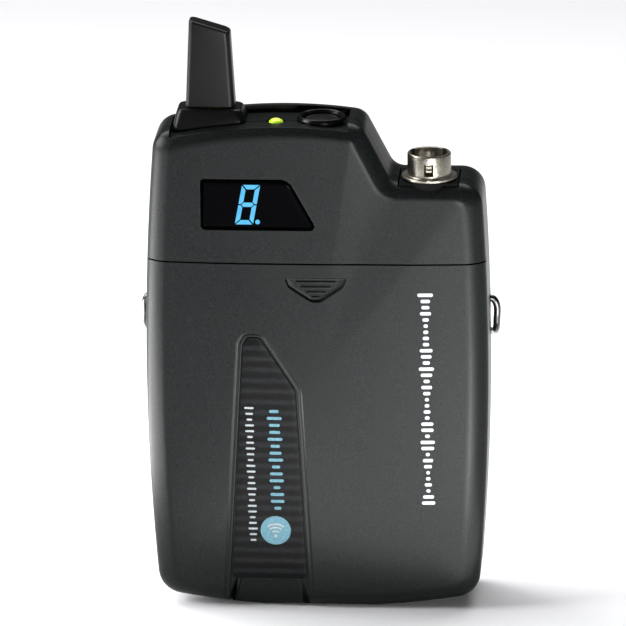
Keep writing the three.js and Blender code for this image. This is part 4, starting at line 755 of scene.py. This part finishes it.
RIM_Z = socket_high.z
FLANGE_R = (socket_high.x - socket_low.x) / 2
BARREL_R = 4.2
BORE_R = 3.55
FLANGE_Z = SHELF_Z + GAP
barrel_profile = [(BORE_R, socket_low.z), (BARREL_R - 0.2, socket_low.z), (BARREL_R - 0.2, FLANGE_Z),
                  (FLANGE_R - 0.1, FLANGE_Z), (FLANGE_R, FLANGE_Z + 0.1), (FLANGE_R, FLANGE_Z + 0.38),
                  (FLANGE_R - 0.12, FLANGE_Z + 0.5), (BARREL_R + 0.12, FLANGE_Z + 0.5),
                  (BARREL_R, FLANGE_Z + 0.62), (BARREL_R, RIM_Z - 0.28), (BARREL_R - 0.06, RIM_Z - 0.1),
                  (BARREL_R - 0.18, RIM_Z), (BORE_R + 0.2, RIM_Z), (BORE_R + 0.05, RIM_Z - 0.06),
                  (BORE_R, RIM_Z - 0.2), (BORE_R, socket_low.z)]
barrel = turned("socket_barrel", barrel_profile, SOCKET_X, PARTING_Y, 120)
LATCH_X = SOCKET_X + 0.1
cut(barrel, block("latch_window", (LATCH_X - 0.9, LATCH_X + 0.9), (PARTING_Y - 9, PARTING_Y), (87.3, 89.8)),
    block("flange_notch", (LATCH_X - 0.3, LATCH_X + 0.3), (PARTING_Y - 9, PARTING_Y - 5.0), (85.5, 88)))
for turn in (35, 155):
    key = block("key_slot", (-0.7, 0.7), (0, 3.85), (84.6, 99))
    key.data.transform(Matrix.Translation((SOCKET_X * MM, PARTING_Y * MM, 0))
                       @ Matrix.Rotation(math.radians(turn - 90), 4, "Z"))
    cut(barrel, key)
dress(smooth(barrel, 35), "pack", "nickel", satin_nickel, instead=["socket_shell"])

tongue = [(-3.3, 87.9), (-3.62, 88.0), (-3.98, 88.15), (-3.98, 88.5), (-3.5, 88.7), (-3.5, 88.9),
          (-3.8, 89.0), (-3.8, 89.2), (-3.5, 89.3), (-3.5, 89.4), (-3.8, 89.5), (-3.8, 89.75)]
tongue_rows = [[(LATCH_X - 0.52, PARTING_Y + y, z), (LATCH_X + 0.52, PARTING_Y + y, z),
                (LATCH_X + 0.52, PARTING_Y + y + 0.25, z), (LATCH_X - 0.52, PARTING_Y + y + 0.25, z)]
               for y, z in tongue]
latch_tongue = tube("socket_latch", tongue_rows)
dress(latch_tongue, "pack", "nickel", satin_nickel)

# Painted shade: a quite dull near black, on a ring under the flange and on the socket's plate, so that it
# reads as the dark gap and shade of the recess round the socket.
recess_shade_black = grained_abs("matt_black_recess_shade", "#020202", "#050505", 0.3, 0.01, 0.9)
shade_ring = turned("socket_shade_ring", [(BARREL_R, SHELF_Z - 1.2), (FLANGE_R - 0.35, SHELF_Z - 1.2),
                                  (FLANGE_R - 0.35, FLANGE_Z), (BARREL_R, FLANGE_Z),
                                  (BARREL_R, SHELF_Z - 1.2)], SOCKET_X, PARTING_Y, 96)
dress(smooth(shade_ring), "pack", "soft_black", recess_shade_black)


# ------------------------------------------------------------------ battery door
# The lower front of the case, moulded in the same ABS and hung on two steel pins at its foot.
# It has a thumb recess below its upper edge, and a channel with soft double rails for the badge.

BADGE_FOOT = 6.0
BADGE = [(-16.9, BADGE_FOOT), (-2.2, BADGE_FOOT), (-4.1, 44.8), (-10.9, 55.4), (-13.3, 55.4), (-14.1, 53.9)]


def badge_outline(margin, foot, radii=(0, 0, 2.6, 1.6, 1.2, 1.2)):
    """The badge's outline moved out by a margin and run down to a foot height along its sides."""
    sides = [(start[0] + (end[0] - start[0]) * (foot - BADGE_FOOT) / (end[1] - BADGE_FOOT), foot)
             for start, end in ((BADGE[0], BADGE[5]), (BADGE[1], BADGE[2]))]
    wide = inset(np.array([*sides, *BADGE[2:]], float), -margin)
    if margin:
        wide[:2, 1] = foot
    return rounded([(x, z, r) for (x, z), r in zip(wide, radii)], 12)


def dense(outline, step):
    """The closed outline with its long sides divided, so that it can follow the crown."""
    ahead = np.roll(outline, -1, 0)
    count = np.maximum(1, np.ceil(np.linalg.norm(ahead - outline, axis=1) / step)).astype(int)
    return np.concatenate([a + (b - a) * np.linspace(0, 1, n, endpoint=False)[:, None]
                           for a, b, n in zip(outline, ahead, count)])


def face_cutter(name, outline, profile):
    """A cutter whose floor follows the face: its first ring again, well in front of the face,
    then its floor's rings."""
    rings = face_rings(outline, profile, (0.8, 0.55, 0.3, 0.08))
    ahead = rings[0].copy()
    ahead[:, 1] = -18
    return tube(name, [ahead, *rings])


RAILS = [(0.0, -0.06), (0.12, 0.02), (0.3, 0.16), (0.5, 0.3), (0.62, 0.33), (0.74, 0.3), (0.9, 0.22),
         (1.05, 0.21), (1.2, 0.24), (1.3, 0.34), (1.34, 0.8)]
GRIP_TOP = SEAM_Z - 2.6
GRIP = rounded([(-6.2, GRIP_TOP, 0.5), (-5.4, GRIP_TOP - 2.1, 1.6), (-0.9, GRIP_TOP - 5.1, 2.2),
                (1.1, GRIP_TOP - 5.1, 2.2), (5.6, GRIP_TOP - 2.1, 1.6), (6.4, GRIP_TOP, 0.5)], 8)
GRIP_FLOOR = [(0.0, -0.05), (0.1, 0.04), (0.22, 0.2), (0.3, 0.45), (0.42, 0.6), (0.6, 0.65)]

door = shell("door_shell", FRONT_HALF, ((0, 0, SEAM_Z - GAP / 2), (0, 0, 1)))
cut(door, face_cutter("channel", dense(badge_outline(1.5, -6.0, (0, 0, 6, 2.8, 2.2, 2.2)), 1.5), RAILS))
cut(door, face_cutter("grip", dense(GRIP, 0.8), GRIP_FLOOR))
KNUCKLE_R = 1.35
knuckle_x = carrier_high.x + GAP
for side in (-1, 1):
    ends = sorted((side * knuckle_x, side * (knuckle_x + 2.6)))
    knuckle = rod("knuckle", KNUCKLE_R, *ends, PIVOT_Y, PIVOT_Z, "X")
    web = block("web", ends, (PIVOT_Y - 3, PIVOT_Y), (0.7, PIVOT_Z))
    cut(door, knuckle, web, how="UNION")
    room = sorted((side * (carrier_high.x - 2.3), side * knuckle_x))
    cut(door, rod("arm_room", 2.4, *room, PIVOT_Y, PIVOT_Z, "X"))
cut(door, rod("pin_hole", 0.9, -13, 13, PIVOT_Y, PIVOT_Z, "X"))
TONGUE_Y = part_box("battery_door")[1].y / MM
for share in (0.38, 0.78):
    low = SEAM_Z * share
    outer = float(min(side_x(low + 6), side_x(low - 3.5))) - WALL - GAP
    root = float(side_x(low)) - WALL / 2
    for side in (-1, 1):
        tongue = block("tongue", sorted((side * (outer - 1), side * outer)),
                       (PARTING_Y - 3, TONGUE_Y), (low, low + 6))
        foot = block("tongue_foot", sorted((side * (outer - 1), side * root)),
                     (PARTING_Y - 3, PARTING_Y - 0.5), (low, low + 6))
        cut(door, tongue, foot, how="UNION")
dress(smooth(door), "door", "case_plastic", case_abs, instead=["battery_door"])

ribs = []
for half, down in [(3.9, 1.15), (3.0, 2.2), (1.9, 3.2), (0.8, 4.15)]:
    rib = rounded_box((0.1 - half, 0.1 + half), (GRIP_TOP - down - 0.22, GRIP_TOP - down + 0.22), 0.2, 4)
    ribs.append([*raised(rib, 0.75, 0.4), on_face(inset(rib, 0.06), 0.32), on_face(inset(rib, 0.15), 0.3)])
grip_ribs = gathered("grip_ribs", ribs)
dress(smooth(grip_ribs), "door", "case_plastic", case_abs)


# ------------------------------------------------------------------ badge and printed marks
# The badge is a die-cut sheet of black foil with a fine cross-woven emboss. Its marks are
# silk-screened: plain level bars, arcs in a disc, and a wave of bars on the door itself.

# Embossed foil: dark and satin, with short level threads of emboss; the paler colour on the threads and on
# softer bands across them is painted sheen, where they catch light.
foil, tree, place = start_material("woven_black_foil", Roughness=0.45, Specular_IOR_Level=0.09)
squeezed = add(tree, "ShaderNodeMapping", [("Vector", place), ("Scale", (0.3, 1.0, 1.0))])
threads = add(tree, "ShaderNodeTexNoise", [("Vector", squeezed.outputs["Vector"]), ("Detail", 2.0),
                                           ("Scale", 1 / (0.3 * MM)), ("Roughness", 0.7)])
bands = add(tree, "ShaderNodeTexWave", [("Vector", place), ("Scale", 1 / (6.3 * 1.1 * MM)),
                                        ("Distortion", 1.2), ("Detail", 3.0), ("Detail Scale", 9.0)],
            wave_type="BANDS", bands_direction="Z")
painted_sheen = add(tree, "ShaderNodeMath", [(0, threads.outputs["Fac"]), (1, bands.outputs["Fac"])],
            operation="MULTIPLY")
level = add(tree, "ShaderNodeMapRange", [("Value", painted_sheen.outputs["Value"]), ("From Min", 0.15),
                                         ("From Max", 0.62)])
# Painted sheen: where threads and bands coincide, the foil's colour is lifted to a paler grey.
add(tree, "ShaderNodeMix", [("Factor", level.outputs["Result"]), ("A", linear("#040404")),
                            ("B", linear("#16191A"))], ("Result", "Base Color"), data_type="RGBA")
add(tree, "ShaderNodeBump", [("Height", threads.outputs["Fac"]), ("Strength", 0.5),
                             ("Distance", 0.05 * MM)], ("Normal", "Normal"))

BADGE_DEPTH = 0.3
badge_edge = dense(badge_outline(0, BADGE_FOOT, (1.1, 1.1, 2.4, 1.2, 1.0, 1.0)), 1.5)
badge = laid_plate("badge_foil", badge_edge, 0.66, [(0, 0.4), (0.05, 0.33), (0.14, BADGE_DEPTH)])
dress(smooth(badge), "door", "badge", foil, instead=["door_badge"])

# Silk-screen inks: satin, and a little uneven where they lie on the weave.
ink_look = {"grain": 0.4, "detail": 3.0, "Roughness": 0.5, "Specular_IOR_Level": 0.3}
blue_ink = mottled("blue_grey_ink", "#2C4F5A", "#5E8B99", **ink_look)[0]
white_ink = mottled("white_ink", "#5A6064", "#A3A9AD", **ink_look)[0]
logo_ink = mottled("pale_grey_ink", "#8B8F91", "#B2B5B7", **ink_look)[0]
INK = 0.02


def print_bars(name, bars, depth, material):
    """A row of printed bars, each (x, z, half width, half height), with quarter-round ends."""
    shapes = [raised(rounded_box((x - half, x + half), (z - high, z + high), min(half, high) * 0.9, 5),
                     depth + 0.1, depth - INK) for x, z, half, high in bars]
    return dress(gathered(name, shapes), "door", "badge", material)


step = np.arange(15)
print_bars("badge_level_bars",
           [(-8.0 + 0.028 * (31 - z), z, 0.6 + 0.85 * abs(math.sin(1.1 * k + 0.4)), 0.3)
            for k, z in zip(step, 40.6 - 1.42 * step)], BADGE_DEPTH, blue_ink)
print_bars("badge_fine_bars",
           [(-12.9 + 0.02 * (31 - z), z, 0.45 + 0.45 * abs(math.cos(0.9 * k)), 0.2)
            for k, z in zip(range(24), 41.2 - 1.18 * np.arange(24))], BADGE_DEPTH, white_ink)
DISC_X, DISC_Z = -8.2, 16.1
disc = tube("badge_disc", raised(circle(DISC_X, DISC_Z, 2.95, 64), BADGE_DEPTH + 0.1, BADGE_DEPTH - INK))
dress(disc, "door", "badge", blue_ink)


def arc_band(x, z, radius, width, start, end, count=24):
    """Outline of an arc of a ring, from one angle to another in degrees."""
    turn = np.radians(np.linspace(start, end, count))
    outer = np.stack([np.cos(turn), np.sin(turn)], 1)
    return np.array([x, z]) + np.concatenate([outer * (radius - width / 2),
                                              outer[::-1] * (radius + width / 2)])


arcs = [arc_band(DISC_X, DISC_Z - 1.1, radius, 0.34, 50, 130) for radius in (0.95, 1.7, 2.4)]
arcs.append(circle(DISC_X, DISC_Z - 1.15, 0.34, 64))
badge_arcs = gathered("badge_arcs", [raised(arc, BADGE_DEPTH, BADGE_DEPTH - 2 * INK) for arc in arcs])
dress(badge_arcs, "door", "badge", white_ink)

wave_z = np.arange(22.2, 64.6, 1.24)
envelope = 0.35 + 1.15 * np.abs(np.sin(0.21 * wave_z + 0.5) * np.cos(0.83 * wave_z))
print_bars("door_wave_bars", [(21.4 - 0.012 * (z - 43), z, h, 0.34) for z, h in zip(wave_z, envelope)],
           0.0, logo_ink)


# ------------------------------------------------------------------ inside the door
# A strip of black foam presses the cells down. The hinge's carrier and its steel pins stay
# with the slide, and the controls behind the door sit in a moulded panel.

# Closed-cell foam: charcoal and quite dull, with round pores.
foam, tree, place = start_material("closed_cell_foam", Roughness=0.95, Specular_IOR_Level=0.15)
pores = add(tree, "ShaderNodeTexVoronoi", [("Vector", place),
                                           ("Scale", 1 / (0.5 * MM))]).outputs["Distance"]
add(tree, "ShaderNodeMix", [("Factor", pores), ("A", linear("#0E0E0F")), ("B", linear("#2B2B2D"))],
    ("Result", "Base Color"), data_type="RGBA")
add(tree, "ShaderNodeBump", [("Height", pores), ("Strength", 0.7), ("Distance", 0.15 * MM)],
    ("Normal", "Normal"))

# Moulded plastics of the inside: a duller black, a plain grey, and the blue of a trimmer's knob.
tray_abs = grained_abs("satin_black_abs", "#161717", "#222424", 0.3, 0.01, 0.5)
key_grey = grained_abs("grey_key_abs", "#5E6366", "#767C80", 0.3, 0.01, 0.5)
trim_blue = grained_abs("blue_trimmer_nylon", "#234B86", "#3A6DB3", 0.4, 0.01, 0.45)

# Glass-fibre board under green lacquer, where the copper shows through as paler lines.
board, tree, place = start_material("green_circuit_board", Roughness=0.4)
add(tree, "ShaderNodeTexBrick", [("Vector", place), ("Color1", linear("#1C4D33")),
                                 ("Color2", linear("#1F5A3B")), ("Mortar", linear("#2F7A50")),
                                 ("Scale", 1 / (6 * MM)), ("Mortar Size", 0.03)], ("Color", "Base Color"))

# Drawn and stamped metals, bright and a little cloudy: nickelled steel, and gold over nickel.
steel = mottled("nickelled_spring_steel", "#9A9B9C", "#D5D6D6", 0.6, 3.0, Metallic=1.0, Roughness=0.28)[0]
gold = mottled("gold_flash_contacts", "#B98B32", "#E3BE6B", 0.5, 2.0, Metallic=1.0, Roughness=0.25)[0]

for material, names in [
    (foam, ["door_pad"]),
    # The socket's plate is painted near black, as the shade in its recess.
    (recess_shade_black, ["socket_plate"]),
    (tray_abs, ["door_carrier", "battery_tray", "display_module", "board_header", "processor",
                "power_switch", "indicator_led", "socket_insert", "pair_switch",
                "channel_switch", "clip_bush_right", "clip_bush_left"]),
    (board, ["main_board", "display_board"]),
    (steel, ["radio_shield", "socket_retainer", "contact_bridge", "contact_plus", "contact_minus",
             "hinge_pin_right", "hinge_pin_left"]),
    (gold, ["antenna_element", "socket_pin_1", "socket_pin_2", "socket_pin_3", "socket_pin_4"]),
    (trim_blue, ["level_trim"]),
    (key_grey, ["pair_key", "channel_key", "level_knob"]),
]:
    for name in names:
        nodes[name].data.materials.clear()
        nodes[name].data.materials.append(material)


# ------------------------------------------------------------------ cells and springs
# Two AA cells in plain printed steel jackets with crimped ends, and the conical springs of
# nickelled steel wire that press on their minus ends.

# Printed steel: a dark blue lacquer, with a bare grey band, that still shines like metal.
jacket, tree, place = start_material("printed_steel_jacket", Metallic=0.6, Roughness=0.3)
place_z = add(tree, "ShaderNodeSeparateXYZ", [("Vector", place)]).outputs["Z"]
band = add(tree, "ShaderNodeMapRange", [("Value", place_z), ("From Min", 24 * MM), ("From Max", 24.3 * MM)])
add(tree, "ShaderNodeMix", [("Factor", band.outputs["Result"]), ("A", linear("#16293A")),
                            ("B", linear("#6C7073"))], ("Result", "Base Color"), data_type="RGBA")

for name, up in (("cell_left", 1), ("cell_right", -1)):
    low, high = span(name)
    radius = (high.x - low.x) / 2
    foot, top = (low.z, high.z) if up > 0 else (high.z, low.z)
    minus = [(1.6, 0), (1.4, 0.15), (0.5, 0.15), (0.1, 0.4), (0, 0.8)]
    shoulder = [(0, 1.8), (0.1, 1.4), (0.5, 1.1), (1.6, 1.1)]
    nub = [(2.8, 1.0), (2.6, 0.8), (2.6, 0.2), (2.4, 0), (0.05, 0)]
    profile = [(0.05, foot), *[(radius - inward, foot + up * rise) for inward, rise in minus],
               *[(radius - inward, top - up * down) for inward, down in shoulder],
               *[(across, top - up * down) for across, down in nub]]
    cell = turned(name.replace("cell", "battery"), profile, (low.x + high.x) / 2, (low.y + high.y) / 2, 64)
    dress(smooth(cell, 40), "pack", "cell", jacket, instead=[name])


def swept(name, path, radius, sides=12):
    """A round wire along a path: at each point a circle in the plane square to the path, turned
    as little as possible from the one before."""
    path = np.asarray(path, float)
    along = np.gradient(path, axis=0)
    along /= np.linalg.norm(along, axis=1)[:, None]
    normal = np.cross(along[0], [0, 0, 1] if abs(along[0][2]) < 0.9 else [1, 0, 0])
    normals = []
    for direction in along:
        normal = normal - direction * (normal @ direction)
        normal /= np.linalg.norm(normal)
        normals.append(normal)
    normals = np.array(normals)
    binormals = np.cross(along, normals)
    turn = np.linspace(0, 2 * np.pi, sides, endpoint=False)
    rows = (path[:, None] + radius * (normals[:, None] * np.cos(turn)[None, :, None]
                                      + binormals[:, None] * np.sin(turn)[None, :, None]))
    return smooth(tube(name, rows), 40)


for name, up in (("cell_spring_left", 1), ("cell_spring_right", -1)):
    low, high = span(name)
    share = np.linspace(0, 1, 140)
    radius = (high.x - low.x) / 2 - 0.35
    across = radius * (1 - 0.49 * share)
    height = (low.z if up > 0 else high.z) + up * (0.35 + (high.z - low.z - 0.7) * share)
    coil = np.stack([(low.x + high.x) / 2 + across * np.cos(8 * np.pi * share),
                     (low.y + high.y) / 2 + across * np.sin(8 * np.pi * share), height], 1)
    spring = swept(name.replace("cell_spring", "coil"), coil, 0.35, 10)
    dress(spring, "pack", "steel", steel, instead=[name])


# ------------------------------------------------------------------ belt clip
# One length of 1.4 mm spring wire, powder coated in gloss black. Its ends spring into the
# side bushes, and it drops round the back to a wide foot that grips the belt.

WIRE_R = 0.7
LOOP_X = clip_high.x - WIRE_R - 0.15
CLIP_BACK = clip_high.y - WIRE_R
CLIP_FOOT = clip_low.z + WIRE_R
ARM_Z = CLIP_AXIS_Z - 8.4
DROP_Z = CLIP_AXIS_Z - 6
end_x = bush_low.x + 0.6
half_route = np.array([
    (end_x, CLIP_AXIS_Y, CLIP_AXIS_Z), (end_x + 2, CLIP_AXIS_Y, CLIP_AXIS_Z),
    (LOOP_X - 0.8, CLIP_AXIS_Y, CLIP_AXIS_Z), (LOOP_X, CLIP_AXIS_Y + 0.2, CLIP_AXIS_Z - 1.3),
    (LOOP_X, CLIP_AXIS_Y + 0.8, DROP_Z + 1.5), (LOOP_X - 0.2, CLIP_AXIS_Y + 2.4, DROP_Z - 0.8),
    (LOOP_X - 0.9, CLIP_BACK - 3.2, ARM_Z), (LOOP_X - 3.6, CLIP_BACK - 0.5, ARM_Z - 0.3),
    (22, CLIP_BACK, ARM_Z - 1), (16.6, CLIP_BACK, ARM_Z - 3), (15, CLIP_BACK - 0.2, ARM_Z - 8),
    (14.2, CLIP_BACK - 0.8, (ARM_Z + CLIP_FOOT) / 2), (13.4, BACK_Y + 1.2, CLIP_FOOT + 8),
    (12.4, BACK_Y + 1.5, CLIP_FOOT + 2.6), (9, BACK_Y + 2.3, CLIP_FOOT + 0.2),
    (3, BACK_Y + 2.5, CLIP_FOOT)])
route = np.concatenate([half_route, half_route[::-1] * [-1, 1, 1]])


def curve_through(knots, steps=12):
    """A smooth curve through the knots: cubic stretches whose tangents come from the neighbours,
    spaced by the root of the distance between knots."""
    gaps = np.sqrt(np.linalg.norm(np.diff(knots, axis=0), axis=1))
    t = np.concatenate([[0], np.cumsum(gaps)])
    slopes = np.gradient(knots, t, axis=0)
    s = np.linspace(0, 1, steps, endpoint=False)[None, :, None]
    a, b = knots[:-1, None], knots[1:, None]
    reach = gaps[:, None, None]
    m, n = slopes[:-1, None] * reach, slopes[1:, None] * reach
    curve = ((2 * s**3 - 3 * s**2 + 1) * a + (s**3 - 2 * s**2 + s) * m
             + (-2 * s**3 + 3 * s**2) * b + (s**3 - s**2) * n)
    return np.concatenate([curve.reshape(-1, 3), knots[-1:]])


# Powder coat on spring wire: black and glossy, with a faint orange peel.
black_wire, tree, place = start_material("gloss_black_powder_coat", Base_Color=linear("#060607"),
                                         Coat_Weight=0.6, Coat_Roughness=0.05)
peel = add(tree, "ShaderNodeTexNoise", [("Vector", place), ("Scale", 1 / (0.5 * MM)),
                                        ("Detail", 2.0)]).outputs["Fac"]
add(tree, "ShaderNodeMapRange", [("Value", peel), ("To Min", 0.1), ("To Max", 0.2)],
    ("Result", "Roughness"))
add(tree, "ShaderNodeBump", [("Height", peel), ("Strength", 0.15), ("Distance", 0.02 * MM)],
    ("Normal", "Normal"))
clip = swept("belt_wire", curve_through(route), WIRE_R, 20)
dress(clip, "clip", "black_wire", black_wire, instead=["belt_clip"])


# ------------------------------------------------------------------ screws and rear label
# Four cross-slotted pan-head screws of nickelled steel, sunk in wells in the back, and a
# satin plastic label in a shallow seat, with plain ruled lines printed on it.

for i, (x, z) in enumerate(SCREWS):
    head = [(0.05, -6), (1.0, -6), (1.0, GAP), (SCREW_HEAD_R, GAP), (SCREW_HEAD_R, 1.0),
            (SCREW_HEAD_R - 0.15, 1.3), (SCREW_HEAD_R - 0.5, 1.45), (0.05, 1.5)]
    screw = turned(f"pan_screw_{i + 1}", [(r, SCREW_SEAT_Y + y) for r, y in head], x, z, 40, "Y")
    for wide, high in ((1.2, 0.25), (0.25, 1.2)):
        cut(screw, block("slot", (x - wide, x + wide), (SCREW_SEAT_Y + 0.9, BEHIND), (z - high, z + high)))
    dress(smooth(screw, 40), "pack", "steel", steel, instead=[f"case_screw_{i + 1}"])

# Polyester film: dark grey and smoother than the case, so that it shows as a paler satin patch.
label_film = grained_abs("satin_label_film", "#34373A", "#3C4043", 0.6, 0.003, 0.38)
label_low, label_high = span("rear_label")
label_outline = rounded_box((label_low.x, label_high.x), (label_low.z, label_high.z), 1.3)
label = prism("rear_film", label_outline, label_low.y, label_high.y)
dress(smooth(label), "pack", "label", label_film, instead=["rear_label"])
RULE_X = -15.4
rules = []
for row in range(6):
    z = label_high.z - 3.4 - 2.5 * row
    half = (label_high.x - label_low.x) / 2 - 3.2 - (1.5 + 4 * abs(math.sin(2.3 * row)))
    rule = rounded_box((RULE_X, RULE_X + 2 * half), (z - 0.2, z + 0.2), 0.15, 4)
    rules.append([np.column_stack([rule[:, 0], np.full(len(rule), y), rule[:, 1]])
                  for y in (label_high.y - 0.05, label_high.y + INK)])
dress(gathered("label_rules", rules), "pack", "label", logo_ink)


# ------------------------------------------------------------------ studio
# A pale paper floor, one soft box at the left and one above, and lights lying flat on the
# table whose reflections shape the face. The camera has a long lens, a little above the object.

floor_paper = start_material("matte_paper_floor", Base_Color=linear("#F4F4F6"), Roughness=0.9,
                             Specular_IOR_Level=0.0)[0]
floor = make_object("floor", [(-3000, -3000, 0), (3000, -3000, 0), (3000, 3000, 0), (-3000, 3000, 0)],
                    [[0, 1, 2, 3]])
floor.data.materials.append(floor_paper)


def soft_box(name, place, aim, size, power):
    """A rectangular area light at a place in mm, aimed at a point, with its power in watts."""
    light = bpy.data.lights.new(name, "AREA")
    light.shape = "RECTANGLE"
    light.size, light.size_y = size[0] * MM, size[1] * MM
    light.energy = power
    made = placed(name, light)
    made.location = Vector(place) * MM
    made.rotation_euler = (Vector(aim) - Vector(place)).to_track_quat("-Z", "Y").to_euler()
    made.visible_camera = False
    return made


def table_light(name, azimuth, near, far, width, power):
    """A soft light lying on the table, face up, from near to far mm along an azimuth."""
    turn = math.radians(azimuth)
    reach = (near + far) / 2
    place = (reach * math.sin(turn), -reach * math.cos(turn), 2)
    made = soft_box(name, place, (place[0], place[1], 100), (width, far - near), power)
    made.rotation_euler.rotate_axis("Z", -turn)
    return made


soft_box("left_box", (-480, -60, 260), (0, 0, 80), (260, 300), 4.0)
soft_box("top_box", (40, 170, 420), (0, 0, 90), (400, 200), 1.4)
table_light("left_table", -84, 90, 480, 130, 2.9)
table_light("edge_table", 41, 80, 340, 34, 0.6)
table_light("fill_table", 21, 30, 480, 116, 0.8)
soft_box("front_strip", (170, -560, 62), (0, 0, 62), (280, 30), 1.8)
overhead = bpy.data.lights.new("overhead_silk", "SUN")
overhead.energy = 2.3
overhead.angle = math.radians(32)
sunlight = Vector((0.7, -0.35, -1)).to_track_quat("-Z", "Y")
placed("overhead_silk", overhead).rotation_euler = sunlight.to_euler()
world = bpy.data.worlds.new("room")
bpy.context.scene.world = world
world.use_nodes = True
background = world.node_tree.nodes["Background"]
background.inputs["Color"].default_value = linear("#F2F2F4")
background.inputs["Strength"].default_value = 0.07
bpy.context.scene.view_settings.view_transform = "Standard"

CAMERA_DISTANCE = 1200
AZIMUTH, ELEVATION, ROLL = math.radians(4.0), math.radians(17.3), math.radians(-0.56)
away = Vector((math.sin(AZIMUTH) * math.cos(ELEVATION), -math.cos(AZIMUTH) * math.cos(ELEVATION),
               math.sin(ELEVATION)))
camera_data = bpy.data.cameras.new("camera")
camera_data.lens = 354.8
camera_data.sensor_width = 36
camera_data.clip_start, camera_data.clip_end = 0.05, 20
camera = placed("camera", camera_data)
camera_place = Vector((0, 0, 52)) + away * CAMERA_DISTANCE
camera.location = camera_place * MM
look = (Vector((-1.2, 0, 57.5)) - camera_place).to_track_quat("-Z", "Y")
camera.rotation_euler = (look.to_matrix() @ Matrix.Rotation(ROLL, 3, "Z")).to_euler()
bpy.context.scene.camera = camera
